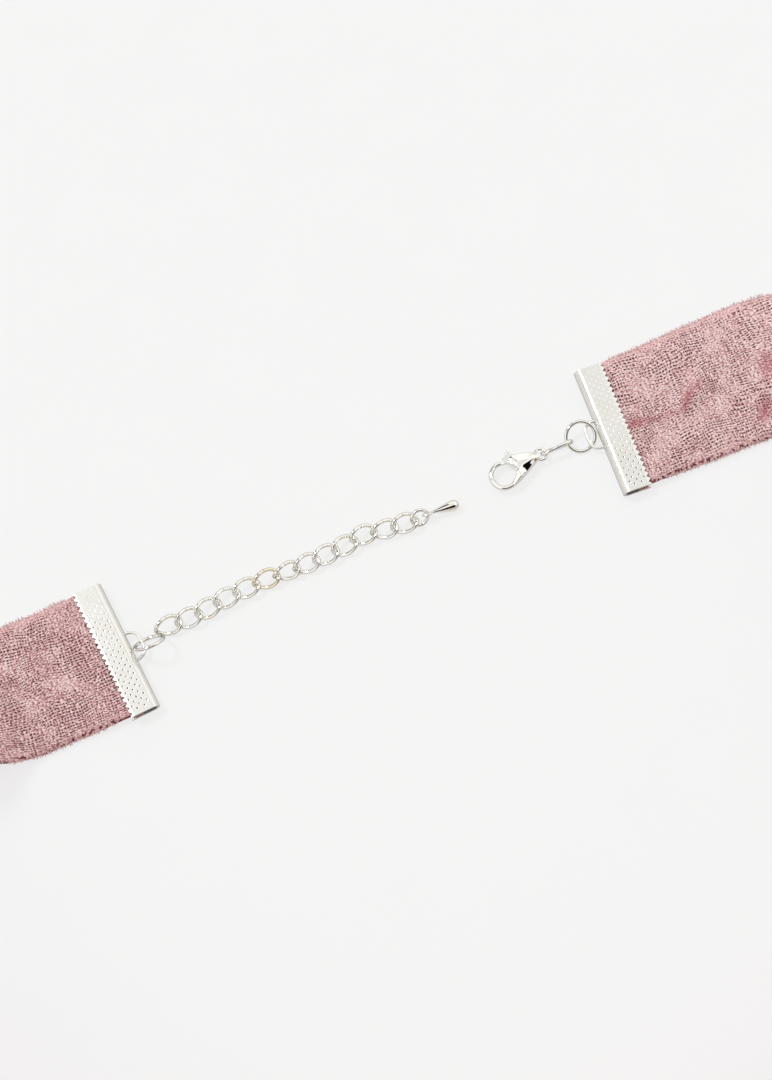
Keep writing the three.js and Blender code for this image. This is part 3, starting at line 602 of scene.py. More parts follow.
pile_finish, tree, shader, group = velvet_named("pile_ends", in_millimetres, 0.2, 0.95)
tree.links.new(mixed(tree, 0.6, group.outputs["Colour"], FRAY_COLOUR), shader.inputs["Base Color"])
frayed = placed("frayed_edges", fray_mesh)
grown(frayed, fringe, {"Length": FRAY_LENGTH * MM, "Thickness": FRAY_THICK * MM, "Spread": FRAY_SPREAD,
                       "Seed": FRAY_SEED, "Finish": pile_finish})
for corner in frayed.data.vertices:
    corner.co.z = max(corner.co.z, FRAY_LOWEST * MM)
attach(frayed, "choker")

# Ribbon crimps. Each is a strip of thin plated steel folded over the ribbon's end and pressed shut; its open
# edge is cut to teeth, its faces are struck with small dimples, and a band bent out of its spine takes a ring.
CRIMP_LENGTH = 20.4
CRIMP_WIDTH = 4.5
CRIMP_PLATE = 0.45
CRIMP_THICK = 2.2
PLATE_SOFT = 0.06
TEETH = 23
TOOTH_DEPTH = 0.4
TOOTH_STEPS = 18
# How much of the plate behind the open edge is drawn in with the teeth.
TOOTH_ROOM = 1.0
# How far the dimples stay from the spine, the open edge and the ends.
PLAIN_EDGES = (0.1, 0.6, 0.4)
DIMPLE_ALONG = 1.1
DIMPLE_ACROSS = 1.16
DIMPLE_RADIUS = 0.14
DIMPLE_DEPTH = 0.07
DIMPLE_STEPS = 80
EDGE_BENT = 0.55
EDGE_SLOPE = 0.12
ARCH_REACH = 1.69
ARCH_HALF = 2.19
ARCH_TIP_HALF = 0.67
ARCH_WALL = 0.42
ARCH_HEIGHT = 0.55
ARCH_SIDES = 16
ARCH_SQUARED = 0.55
WARM_METAL = (0.86, 0.79, 0.62, 1)
# A near-black metal colour, painted in as shade in the crimps' pits and on the flanks of the wire and clasp.
PAINTED_SHADE_METAL = (0.12, 0.11, 0.09, 1)
# How far a wire's flank turns away before its painted shade starts, and where that shade is darkest.
FLANK_EDGE = (0.42, 0.78)

plating = bpy.data.node_groups.new("plated_metal", "ShaderNodeTree")
for socket, kind, default in (("Place", "NodeSocketVector", None), ("Metal", "NodeSocketColor", (0.93, 0.925, 0.9, 1)),
                              ("Warm", "NodeSocketFloat", 0.35), ("Polish", "NodeSocketFloat", 0.1),
                              ("Scuffs", "NodeSocketFloat", 0.06)):
    made = plating.interface.new_socket(socket, in_out="INPUT", socket_type=kind)
    if default is not None:
        made.default_value = default
for socket, kind in (("Colour", "NodeSocketColor"), ("Roughness", "NodeSocketFloat"), ("Height", "NodeSocketFloat")):
    plating.interface.new_socket(socket, in_out="OUTPUT", socket_type=kind)
given = plating.nodes.new("NodeGroupInput").outputs
stain = add(plating, "ShaderNodeTexNoise", {"Vector": given["Place"], "Scale": 0.55, "Detail": 3.0}).outputs["Fac"]
grain = add(plating, "ShaderNodeTexNoise", {"Vector": given["Place"], "Scale": 5.0, "Detail": 4.0}).outputs["Fac"]
warmth = sums(plating, "MULTIPLY", between(plating, stain, 0.4, 0.68), given["Warm"])
tinted = mixed(plating, warmth, given["Metal"], WARM_METAL)
worn = sums(plating, "MULTIPLY_ADD", between(plating, grain, 0.45, 0.75), given["Scuffs"], given["Polish"])
add(plating, "NodeGroupOutput", {"Colour": tinted, "Roughness": worn, "Height": grain})


def plate_named(name, metal, warm, polish, scuffs, bump_height, flank_shade=0.0):
    """A bright plated metal, with a faint warm stain and fine scuffs, and painted shade in its pits and on a wire's
    flanks.
    """
    material, tree, shader = finish_named(name)
    group = add(tree, "ShaderNodeGroup", node_tree=plating)
    tree.links.new(in_millimetres(tree), group.inputs["Place"])
    for socket, value in (("Metal", metal), ("Warm", warm), ("Polish", polish), ("Scuffs", scuffs)):
        group.inputs[socket].default_value = value
    bump = add(tree, "ShaderNodeBump", {"Height": group.outputs["Height"], "Strength": 0.2,
                                        "Distance": bump_height})
    pits = add(tree, "ShaderNodeAttribute", attribute_name="pit").outputs["Fac"]
    facing = add(tree, "ShaderNodeLayerWeight", {"Blend": 0.5}).outputs["Facing"]
    # Painted shade: the pits, and the flanks that turn away from the view, are darkened towards the near-black metal.
    painted_shade = sums(tree, "MAXIMUM", pits, between(tree, facing, *FLANK_EDGE, 0.0, flank_shade))
    tree.links.new(mixed(tree, painted_shade, group.outputs["Colour"], PAINTED_SHADE_METAL), shader.inputs["Base Color"])
    tree.links.new(group.outputs["Roughness"], shader.inputs["Roughness"])
    tree.links.new(bump.outputs["Normal"], shader.inputs["Normal"])
    shader.inputs["Metallic"].default_value = 1.0
    return material


def mesh_lists(meshes):
    """The points and faces of several meshes, one after the other."""
    points, faces = [], []
    for mesh in meshes:
        start = len(points)
        points += [tuple(v.co) for v in mesh.vertices]
        faces += [tuple(i + start for i in p.vertices) for p in mesh.polygons]
    return points, faces


crimp_finish = plate_named("crimp_plate", (0.905, 0.90, 0.87, 1), 0.25, 0.24, 0.1, 0.00001, 0.45)


def quadratic(start, control, end, steps):
    """Points on a bent line between two places, without its start."""
    t = np.linspace(0, 1, steps + 1)[1:, None]
    curve = np.array(start) * (1 - t) ** 2 + np.array(control) * 2 * t * (1 - t) + np.array(end) * t * t
    return [np.array(spot) for spot in curve]


def crimp_mesh(name, arch_offset, turn, place, depths):
    """One crimp: its folded plate swept along its length, and the band on its spine."""
    outer = CRIMP_THICK / 2
    inner = outer - CRIMP_PLATE
    open_edge, lip, far_face = CRIMP_WIDTH - PLATE_SOFT, CRIMP_WIDTH - 2 * PLATE_SOFT, CRIMP_THICK - CRIMP_PLATE

    def run(start, end, steps):
        return [np.array(start) + (np.array(end) - np.array(start)) * i / steps for i in range(steps)]

    def bend(radius, first, last, steps):
        angles = [math.radians(first + (last - first) * i / steps) for i in range(steps)]
        return [np.array((outer + radius * math.cos(a), outer + radius * math.sin(a))) for a in angles]

    section = run((open_edge, CRIMP_THICK), (outer, CRIMP_THICK), DIMPLE_STEPS)
    section += bend(outer, 90, 270, 20)
    section += run((outer, 0), (open_edge, 0), 20)
    section += [np.array(corner) for corner in ((open_edge, 0), (CRIMP_WIDTH, PLATE_SOFT),
                                                (CRIMP_WIDTH, CRIMP_PLATE - PLATE_SOFT), (open_edge, CRIMP_PLATE))]
    section += run((lip, CRIMP_PLATE), (outer, CRIMP_PLATE), 8)
    section += bend(inner, 270, 90, 10)
    section += run((outer, far_face), (lip, far_face), 8)
    section += [np.array(corner) for corner in ((open_edge, far_face), (CRIMP_WIDTH, far_face + PLATE_SOFT),
                                                (CRIMP_WIDTH, CRIMP_THICK - PLATE_SOFT))]
    section = np.array(section)
    count = len(section)
    steps = TEETH * TOOTH_STEPS
    lengthwise = (np.arange(steps + 1) / steps - 0.5) * CRIMP_LENGTH
    tooth = np.abs(((np.arange(steps + 1) / TOOTH_STEPS) % 1) - 0.5) * 2
    edge = CRIMP_WIDTH - TOOTH_DEPTH * (1 - tooth)
    from_x = CRIMP_WIDTH - TOOTH_ROOM
    x = np.repeat(section[None, :, 0], steps + 1, 0)
    z = np.repeat(section[None, :, 1], steps + 1, 0)
    y = np.repeat(lengthwise[:, None], count, 1)
    past = np.clip((x - from_x) / (CRIMP_WIDTH - from_x), 0, 1)
    x = np.where(past > 0, from_x + past * (edge[:, None] - from_x), x)
    on_face = z > CRIMP_THICK - 0.02
    from_spine, from_edge, from_ends = PLAIN_EDGES
    struck = on_face & (x > outer + from_spine) & (x < CRIMP_WIDTH - from_edge)
    struck &= np.abs(y) < CRIMP_LENGTH / 2 - from_ends
    strength = np.interp(y, *zip(*depths))
    pit = np.zeros(z.shape)
    z = z - np.maximum(x - CRIMP_WIDTH + EDGE_BENT, 0) * EDGE_SLOPE * on_face
    for stagger in (0.0, 0.5):
        across_row = (x - outer - 0.3) / DIMPLE_ACROSS - stagger
        along_row = y / DIMPLE_ALONG - stagger
        near = np.hypot((across_row - np.round(across_row)) * DIMPLE_ACROSS,
                        (along_row - np.round(along_row)) * DIMPLE_ALONG)
        well = np.where(struck, np.clip(1 - (near / DIMPLE_RADIUS) ** 2, 0, 1), 0)
        z = z - DIMPLE_DEPTH * strength * well
        # Painted shade in each dimple's pit, darker where the dimples are struck deeper.
        pit = pit + np.clip(well * 1.6, 0, 1) * np.clip(strength * 1.5 - 0.6, 0, 0.95)
    plate = closed_mesh(name + "_plate", np.stack([x, y, z], 2).reshape(-1, 3), tube_faces(steps + 1, count))

    band = [np.array((0.5, -ARCH_HALF))]
    band += quadratic(band[0], (-ARCH_REACH, -ARCH_HALF), (-ARCH_REACH, -ARCH_TIP_HALF), 12)
    band += [np.array((-ARCH_REACH - 0.03, 0.0))] + [spot * (1, -1) for spot in band[::-1]]
    band = np.array(band) + (0, arch_offset)
    ahead = np.gradient(band, axis=0)
    ahead /= np.linalg.norm(ahead, axis=1)[:, None]
    outwards = np.stack([ahead[:, 1], -ahead[:, 0]], 1)
    corners = [(math.cos(a), math.sin(a)) for a in np.linspace(0, 2 * math.pi, ARCH_SIDES, endpoint=False)]
    rings = []
    for spot, out in zip(band, outwards):
        for c, s in corners:
            wide = math.copysign(abs(c) ** ARCH_SQUARED, c) * ARCH_WALL / 2
            high = math.copysign(abs(s) ** ARCH_SQUARED, s) * ARCH_HEIGHT / 2
            rings.append((spot[0] + out[0] * wide, spot[1] + out[1] * wide, outer + high))
    points, faces = mesh_lists([plate, closed_mesh(name + "_band", rings, tube_faces(len(band), ARCH_SIDES))])
    both = bpy.data.meshes.new(name)
    both.from_pydata(points, [], faces)
    # The pits' painted shade, kept on the plate's points.
    pit_shade = both.attributes.new("pit", "FLOAT", "POINT")
    pit_shade.data.foreach_set("value", np.append(pit.ravel(), np.zeros(len(rings))).astype(np.float32))
    both.shade_smooth()
    both.set_sharp_from_angle(angle=math.radians(40))
    both.transform(Matrix.Translation(place * MM) @ Matrix.Rotation(turn, 4, "Z") @ Matrix.Scale(MM, 4))
    return both


# How deep the dimples are along each plate: place from its middle, and share of the full depth.
CLASP_SIDE_DEPTHS = ((-10, 1.1), (-4, 0.9), (1, 0.4), (9, 0.3))
CHAIN_SIDE_DEPTHS = ((-10, 0.0), (-8, 0.05), (-5, 0.8), (10, 1.1))
for node_name, piece_name, arch_offset, turn, place, depths in (
        ("ribbon_end_clasp", "crimp_clasp_side", 0.0, math.radians(-3.9), CLASP_SPINE, CLASP_SIDE_DEPTHS),
        ("ribbon_end_chain", "crimp_chain_side", 0.4, math.pi + math.radians(3), CHAIN_SPINE, CHAIN_SIDE_DEPTHS)):
    crimp = placed(piece_name, crimp_mesh(piece_name, arch_offset, turn, place, depths), crimp_finish)
    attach(crimp, "choker")
    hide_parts(node_name)

# Rings and chain. All are lengths of plated wire bent round and cut, so each has a fine slit where its ends
# meet; a chain link is an oval whose two ends are twisted opposite ways, so that it lies flat in its neighbours.
WIRE_STEPS = 72
WIRE_SIDES = 14
SLIT = math.radians(1.4)
bent, given = tree_for("bent_wire", (
    ("Half Length", FLOAT), ("Half Width", FLOAT), ("Wire", FLOAT), ("Twist", FLOAT), ("Slit", FLOAT),
    ("Slit Place", FLOAT), ("Steps", INTEGER), ("Sides", INTEGER), ("Finish", "NodeSocketMaterial")))
line = add(bent, "GeometryNodeMeshLine", {"Count": given["Steps"]})
curve = add(bent, "GeometryNodeMeshToCurve", {0: line.outputs[0]})
last_step = sums(bent, "SUBTRACT", given["Steps"], 1.0)
share_round = sums(bent, "DIVIDE", add(bent, "GeometryNodeInputIndex").outputs[0], last_step)
open_turn = sums(bent, "SUBTRACT", 2 * math.pi, given["Slit"])
first_turn = sums(bent, "MULTIPLY_ADD", given["Slit"], 0.5, given["Slit Place"])
turn_round = sums(bent, "MULTIPLY_ADD", share_round, open_turn, first_turn)
cosine, sine = sums(bent, "COSINE", turn_round), sums(bent, "SINE", turn_round)
straight_half = sums(bent, "SUBTRACT", given["Half Length"], given["Half Width"])
cube = sums(bent, "MULTIPLY", cosine, sums(bent, "MULTIPLY", cosine, cosine))
flattened = sums(bent, "SUBTRACT", sums(bent, "MULTIPLY", cosine, 1.5), sums(bent, "MULTIPLY", cube, 0.5))
bent_x = sums(bent, "MULTIPLY_ADD", straight_half, flattened, sums(bent, "MULTIPLY", cosine, given["Half Width"]))
side_reach = sums(bent, "MULTIPLY", sine, given["Half Width"])
twisted = sums(bent, "MULTIPLY", cosine, given["Twist"])
bent_y = sums(bent, "MULTIPLY", side_reach, sums(bent, "COSINE", twisted))
bent_z = sums(bent, "MULTIPLY", side_reach, sums(bent, "SINE", twisted))
spot = add(bent, "ShaderNodeCombineXYZ", {0: bent_x, 1: bent_y, 2: bent_z})
shaped = add(bent, "GeometryNodeSetPosition", {"Geometry": curve.outputs[0], "Position": spot.outputs[0]})
wire_radius = sums(bent, "MULTIPLY", given["Wire"], 0.5)
profile = add(bent, "GeometryNodeCurvePrimitiveCircle", {"Resolution": given["Sides"], "Radius": wire_radius},
              mode="RADIUS")
wire = add(bent, "GeometryNodeCurveToMesh", {
    "Curve": shaped.outputs[0], "Profile Curve": profile.outputs[0], "Fill Caps": True})
stand = add(bent, "GeometryNodeInputNamedAttribute", {"Name": "turn"}, data_type="FLOAT_VECTOR").outputs[0]
turned = add(bent, "FunctionNodeEulerToRotation", {0: stand})
each = add(bent, "GeometryNodeInstanceOnPoints", {
    "Points": given["Geometry"], "Instance": wire.outputs[0], "Rotation": turned.outputs[0]})
real = add(bent, "GeometryNodeRealizeInstances", {0: each.outputs[0]})
round_shade = add(bent, "GeometryNodeSetShadeSmooth", {"Geometry": real.outputs[0]})
painted = add(bent, "GeometryNodeSetMaterial", {"Geometry": round_shade.outputs[0], "Material": given["Finish"]})
add(bent, "NodeGroupOutput", {0: painted.outputs[0]})


def box_offset(half_length, half_width, wire, twist, turn):
    """How far the middle of a turned wire shape's box lies from the shape's own middle."""
    angle = np.linspace(0, 2 * math.pi, 240)
    turned = twist * np.cos(angle)
    reach = half_width * np.sin(angle)
    flattened = 1.5 * np.cos(angle) - 0.5 * np.cos(angle) ** 3
    line = np.stack([half_width * np.cos(angle) + (half_length - half_width) * flattened,
                     reach * np.cos(turned), reach * np.sin(turned)])
    rolled = Matrix.Rotation(turn[2], 3, "Z") @ Matrix.Rotation(turn[1], 3, "Y") @ Matrix.Rotation(turn[0], 3, "X")
    line = np.array(rolled) @ line
    return (line.max(1) + line.min(1)) / 2


def wire_piece(name, nodes, half_length, half_width, wire, twist, turns, slit_place, finish):
    """Like rings or links, one at each of the named CAD pieces, as a single mesh."""
    points = []
    for node_name, turn in zip(nodes, turns):
        low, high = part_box(node_name)
        points.append(np.array((low + high) / 2) - box_offset(half_length, half_width, wire, twist, turn) * MM)
    mesh = bpy.data.meshes.new(name)
    mesh.from_pydata([tuple(p) for p in points], [], [])
    kept = mesh.attributes.new("turn", "FLOAT_VECTOR", "POINT")
    kept.data.foreach_set("vector", np.array(turns, np.float32).ravel())
    piece = placed(name, mesh)
    grown(piece, bent, {
        "Half Length": half_length * MM, "Half Width": half_width * MM, "Wire": wire * MM, "Twist": twist,
        "Slit": SLIT, "Slit Place": math.radians(slit_place), "Steps": WIRE_STEPS, "Sides": WIRE_SIDES,
        "Finish": finish})
    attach(piece, "choker")
    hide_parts(*nodes)


WIRE_METAL = (0.95, 0.94, 0.90, 1)
WIRE_FLANK_SHADE = 0.75
RING_SIZE = 5.0
RING_WIRE = 0.53
RING_HALF = (RING_SIZE - RING_WIRE) / 2
DROP_RING_HALF = 1.25
DROP_RING_WIRE = 0.5
ring_finish = plate_named("ring_wire", WIRE_METAL, 0.3, 0.05, 0.05, 0.000006, WIRE_FLANK_SHADE)
# Each ring's piece, CAD node, size, tilt and the place of its slit, both in degrees.
for name, node_name, half_size, wire_size, tilt, slit_place in (
        ("ring_clasp_side", "jump_ring_clasp", RING_HALF, RING_WIRE, 26, 118),
        ("ring_chain_side", "jump_ring_chain", RING_HALF, RING_WIRE, -58, 160),
        ("drop_ring", "jump_ring_drop", DROP_RING_HALF, DROP_RING_WIRE, 50, 60)):
    wire_piece(name, [node_name], half_size, half_size, wire_size, 0.0, [(math.radians(tilt), 0, 0)], slit_place,
               ring_finish)

LINK_PITCH = 3.16
LINK_WIRE = 0.55
LINK_WIDTH = 3.15
LINK_CLEARANCE = 0.16
LINK_TWIST = math.radians(-45)
LINK_SLIT = 90
LINK_ROLLS = (36, 22, 14, 10, 18, 34, 50, 36, 22, 14, 24, 38, 26)
WARM_LINK = 5
CLASP_LINK_LENGTH = 5.3
CLASP_LINK_WIDTH = 2.4
CLASP_LINK_TWIST = math.radians(-12)
CLASP_LINK_ROLL = math.radians(105)
link_half = (LINK_PITCH + LINK_WIRE + LINK_CLEARANCE) / 2
link_names = [f"chain_link_{i + 1:02d}" for i in range(len(LINK_ROLLS))]
link_middles = [sum(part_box(name), Vector()) / 2 for name in link_names]
link_turns = []
for i, roll in enumerate(LINK_ROLLS):
    run = link_middles[min(i + 1, len(link_middles) - 1)] - link_middles[max(i - 1, 0)]
    link_turns.append((math.radians(roll), 0, math.atan2(run.y, run.x)))
chain_finish = plate_named("chain_wire", WIRE_METAL, 0.4, 0.05, 0.05, 0.000006, WIRE_FLANK_SHADE)
warm_finish = plate_named("warm_chain_wire", (0.93, 0.85, 0.66, 1), 0.8, 0.07, 0.06, 0.000006, WIRE_FLANK_SHADE)
plain = [i for i in range(len(LINK_ROLLS)) if i != WARM_LINK]
for name, chosen, finish, slot in (("extender_links", plain, chain_finish, "chain_wire"),
                                   ("warm_link", [WARM_LINK], warm_finish, "warm_chain_wire")):
    wire_piece(name, [link_names[i] for i in chosen], link_half, (LINK_WIDTH - LINK_WIRE) / 2, LINK_WIRE,
               LINK_TWIST, [link_turns[i] for i in chosen], LINK_SLIT, finish)
wire_piece("clasp_chain_link", ["clasp_link"], (CLASP_LINK_LENGTH - LINK_WIRE) / 2, (CLASP_LINK_WIDTH - LINK_WIRE) / 2,
           LINK_WIRE, CLASP_LINK_TWIST, [(CLASP_LINK_ROLL, 0, 0)], LINK_SLIT, chain_finish)

# Drop. A small cast teardrop with a ring on its narrow end, polished and plated, that weights the chain.
DROP_LENGTH = 4.4
DROP_WIDTH = 1.66
DROP_EYE = 0.64
DROP_EYE_WIRE = 0.42
DROP_SIDES = 40
DROP_TURNS = (("Z", -3), ("Y", 5), ("X", 30))
EYE_STEPS = 40
EYE_SIDES = 14
# The fineness to which the parts of a casting are melted together.
CAST_GRAIN = 0.05
# The drop's outline: place along its length and half width, as shares.
DROP_OUTLINE = ((0.0, 0.22), (0.06, 0.26), (0.16, 0.37), (0.28, 0.5), (0.4, 0.65), (0.52, 0.8), (0.63, 0.92),
                (0.73, 0.99), (0.81, 1.0), (0.88, 0.92), (0.93, 0.78), (0.965, 0.6), (0.988, 0.36), (0.998, 0.14))
drop_rings = []
for place_share, wide in DROP_OUTLINE:
    for k in range(DROP_SIDES):
        angle = 2 * math.pi * k / DROP_SIDES
        radius = wide * DROP_WIDTH / 2
        drop_rings.append((place_share * DROP_LENGTH, radius * math.cos(angle), radius * math.sin(angle)))
drop_body = closed_mesh("drop_body", drop_rings, tube_faces(len(DROP_OUTLINE), DROP_SIDES))


def ring_mesh(name, radius, wire, middle, flat_axis):
    """A closed torus of wire round a point; flat_axis is the way its hole faces."""
    rings = []
    for i in range(EYE_STEPS):
        a = 2 * math.pi * i / EYE_STEPS
        for j in range(EYE_SIDES):
            b = 2 * math.pi * j / EYE_SIDES
            reach = radius + wire / 2 * math.cos(b)
            spot = (reach * math.cos(a), reach * math.sin(a), wire / 2 * math.sin(b))
            spot = (spot[0], spot[2], spot[1]) if flat_axis == "Y" else spot
            rings.append(tuple(np.array(spot) + middle))
    return closed_mesh(name, rings, tube_faces(EYE_STEPS, EYE_SIDES, True))


def fused(name, meshes, smoothing):
    """Meshes in millimetres melted into one cast body."""
    points, faces = mesh_lists(meshes)
    joined = bpy.data.meshes.new(name + "_parts")
    joined.from_pydata(points, [], faces)
    blank = placed(name + "_blank", joined)
    melt = blank.modifiers.new("melt", "REMESH")
    melt.mode = "VOXEL"
    melt.voxel_size = CAST_GRAIN
    melt.use_smooth_shade = True
    ease = blank.modifiers.new("ease", "SMOOTH")
    ease.iterations = smoothing
    ease.factor = 0.5
    made = taken_from(blank)
    bpy.data.objects.remove(blank)
    made.name = name
    made.shade_smooth()
    return made


drop_eye = ring_mesh("drop_eye", DROP_EYE, DROP_EYE_WIRE, np.array((-DROP_EYE, 0, 0)), "Y")
drop_mesh = fused("teardrop", [drop_body, drop_eye], 4)
drop_turn = Matrix.Identity(4)
for axis, degrees in DROP_TURNS:
    drop_turn = drop_turn @ Matrix.Rotation(math.radians(degrees), 4, axis)
drop_mesh.transform(drop_turn)
drop_spots = np.array([v.co for v in drop_mesh.vertices])
drop_place = sum(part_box("drop"), Vector()) / 2 / MM - Vector((drop_spots.max(0) + drop_spots.min(0)) / 2)
drop_mesh.transform(Matrix.Scale(MM, 4) @ Matrix.Translation(drop_place))
drop_finish = plate_named("drop_metal", (0.94, 0.93, 0.89, 1), 0.25, 0.04, 0.03, 0.000006)
teardrop = placed("teardrop", drop_mesh, drop_finish)
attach(teardrop, "choker")
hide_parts("drop")

# Lobster clasp. A cast zinc body with a fixed hook, a small eye and a slot, in which a sprung lever turns on a
# pin that is riveted flush; the lever shuts against the hook's tip, and the thumb nub on it opens it.
CLASP_LENGTH = 9.8
CLASP_WIDTH = 4.6
CLASP_THICK = 2.3
CLASP_TURN = math.radians(7.6)
HOOK_HOLE = 3.24
HOOK_WIRE = 0.64
HOOK_STOUT = 0.74
HOOK_HEIGHT = 0.86
# The hook runs round from one angle, in degrees, to the other, past the far side of the hole.
HOOK_OPENING = 74
HOOK_ROOT = -48
EYE_OUTER = 2.2
EYE_WIRE = 0.48
LEVER_THICK = 0.9
LEVER_GAP = 0.12
LEVER_END = 0.55
PIN_WIDTH = 0.6
PIN_CLEARANCE = 0.06
PIN_LENGTH = 1.98
PIN_SIDES = 28
# The rivet's outline: height from its middle, and width, as shares.
PIN_OUTLINE = ((-1.0, 0.5), (-0.97, 0.78), (-0.9, 0.95), (-0.8, 1.0), (0.8, 1.0), (0.9, 0.95), (0.97, 0.78), (1.0, 0.5))
PIVOT = np.array((0.475 * CLASP_LENGTH, 0.075 * CLASP_WIDTH))
hook_radius = (HOOK_HOLE + HOOK_WIRE) / 2
eye_along = CLASP_LENGTH - HOOK_HOLE / 2 - HOOK_WIRE - EYE_OUTER / 2
# Sections of the body from the hook to the eye: place along, low and high edges, and thickness, as shares.
CLASP_SECTIONS = (
    (0.05, -0.48, -0.32, 0.38), (0.12, -0.45, 0.2, 0.70), (0.17, -0.42, 0.40, 0.86),
    (0.23, -0.385, 0.455, 0.96), (0.29, -0.35, 0.435, 1.0), (0.38, -0.285, 0.36, 1.0),
    (0.47, -0.21, 0.27, 0.95), (0.55, -0.15, 0.17, 0.80), (0.60, -0.12, 0.12, 0.5),
)
BODY_SECTIONS = 26
BODY_SIDES = 64
# How square the body's outline is across, and at its end near the eye: 1 is a circle's.
BODY_SQUARED, END_SQUARED = 0.85, 0.8
# Where, along the clasp, the profile starts to lean and to grow round, and how far each change runs.
LEANING_FROM, ROUND_FROM = (0.2, 0.12), (0.54, 0.05)
# The body's profile near the eye: place across it from its lower edge, and height, as shares.
CLASP_PROFILE = ((0.0, 0.05), (0.02, 0.36), (0.07, 0.5), (0.2, 0.68), (0.34, 0.9), (0.40, 0.97),
                 (0.46, 1.0), (0.56, 0.97), (0.92, 0.78), (0.965, 0.7), (1.0, 0.1))
# The same near the hook, where its lower side stands upright.
HOOK_PROFILE = ((0.0, 0.1), (0.03, 0.75), (0.08, 0.93), (0.4, 1.0), (0.92, 0.82), (0.97, 0.72), (1.0, 0.1))
# The lever's outline in shares of the clasp's length and width: inner side, then outer side with the nub.
LEVER_INNER = ((0.135, 0.31), (0.175, 0.19), (0.21, 0.08), (0.25, 0.0), (0.34, -0.04), (0.42, -0.05))
LEVER_OUTER = ((0.46, 0.28), (0.40, 0.36), (0.33, 0.43), (0.275, 0.475), (0.262, 0.54), (0.25, 0.64), (0.238, 0.70),
               (0.222, 0.715), (0.206, 0.69), (0.196, 0.62), (0.185, 0.56), (0.165, 0.53), (0.13, 0.515))
# The lever thins to its tip: its share of the full thickness near the tip, and how much that grows in a millimetre.
LEVER_TIP, LEVER_GAIN = 0.84, 0.41
# The slot's floor, in the same shares, low enough for the open lever.
SLOT_FLOOR = ((0.1, -0.13), (0.26, -0.24), (0.39, -0.2))
# The hook's hole is round from one angle to the other, then bends inwards: controls and ends of its two bends.
HOLE_ROUND = (47, 313)
HOLE_BENDS = (((0.98, -0.52), (1.34, -0.36), 8), ((1.42, 0.12), (0.8, 0.85), 10))
HOOK_STEPS = 61
HOOK_SIDES = 18


def slab_mesh(name, outline, height):
    """A flat outline given a height, with its plane in the middle."""
    count = len(outline)
    points = [(x, y, -height / 2) for x, y in outline] + [(x, y, height / 2) for x, y in outline]
    return closed_mesh(name, points, tube_faces(2, count))


def cut(mesh, tools):
    """The mesh with the tools' shapes taken out of it."""
    body = placed("clasp_blank", mesh)
    cutters = [placed("clasp_cutter", tool) for tool in tools]
    for cutter in cutters:
        step = body.modifiers.new("cut", "BOOLEAN")
        step.operation = "DIFFERENCE"
        step.solver = "EXACT"
        step.object = cutter
    made = taken_from(body)
    for used in [body, *cutters]:
        bpy.data.objects.remove(used)
    return made


def arc(middle, radius, first, last, steps):
    """Points round part of a circle, by angles in degrees."""
    return [(middle[0] + radius * math.cos(math.radians(a)), middle[1] + radius * math.sin(math.radians(a)))
            for a in np.linspace(first, last, steps)]


table = np.array(CLASP_SECTIONS)
fine = np.linspace(table[0, 0], table[-1, 0], BODY_SECTIONS)
curves = [np.interp(fine, table[:, 0], table[:, k]) for k in (1, 2, 3)]
curves = [np.convolve(np.pad(c, 2, mode="edge"), np.array((1, 2, 3, 2, 1)) / 9, "valid") for c in curves]
body_rings = []
for place_share, low, high, thick in zip(fine, *curves):
    middle, half = (high + low) / 2 * CLASP_WIDTH, (high - low) / 2 * CLASP_WIDTH
    leant, rounded = [float(eased((place_share - start) / run)) for start, run in (LEANING_FROM, ROUND_FROM)]
    for k in range(BODY_SIDES):
        angle = 2 * math.pi * (k + 0.5) / BODY_SIDES
        c, s = math.cos(angle), math.sin(angle)
        upright, leaning = [np.interp((1 + c) / 2, *zip(*profile)) for profile in (HOOK_PROFILE, CLASP_PROFILE)]
        tall = upright + (leaning - upright) * leant
        tall += (abs(s) ** END_SQUARED - tall) * rounded
        body_rings.append((place_share * CLASP_LENGTH, middle + half * math.copysign(abs(c) ** BODY_SQUARED, c),
                           thick * CLASP_THICK / 2 * math.copysign(tall, s)))
loft = closed_mesh("clasp_loft", body_rings, tube_faces(len(fine), BODY_SIDES))
inner = HOOK_HOLE / 2
hole = arc((0, 0), inner, *HOLE_ROUND, 40)
for control, end, steps in HOLE_BENDS:
    hole += quadratic(hole[-1], np.array(control) * inner, np.array(end) * inner, steps)
hole = hole[:-1]
slot_end = PIVOT[0] + LEVER_END + LEVER_GAP
slot_outline = [(a * CLASP_LENGTH, b * CLASP_WIDTH) for a, b in SLOT_FLOOR]
slot_outline += [(slot_end, PIVOT[1] - LEVER_END - LEVER_GAP), (slot_end, CLASP_WIDTH),
                 (slot_outline[0][0], CLASP_WIDTH)]
pin_hole = arc(PIVOT, PIN_WIDTH / 2 + PIN_CLEARANCE, 0, 345, 24)
loft = cut(loft, [slab_mesh("hook_hole", hole, 2 * CLASP_THICK),
                  slab_mesh("lever_slot", slot_outline, LEVER_THICK + LEVER_GAP)])
hook_rings = []
for turned in np.radians(np.linspace(HOOK_ROOT, HOOK_OPENING - 360, HOOK_STEPS)):
    for angle in 2 * math.pi * np.arange(HOOK_SIDES) / HOOK_SIDES:
        reach = hook_radius + HOOK_STOUT / 2 * math.cos(angle)
        hook_rings.append((reach * math.cos(turned), reach * math.sin(turned), HOOK_HEIGHT / 2 * math.sin(angle)))
hook = closed_mesh("clasp_hook", hook_rings, tube_faces(HOOK_STEPS, HOOK_SIDES))
eye = ring_mesh("clasp_eye", (EYE_OUTER - EYE_WIRE) / 2, EYE_WIRE, np.array((eye_along, 0, 0)), "Z")
body_mesh = fused("clasp_casting", [loft, hook, eye], 4)

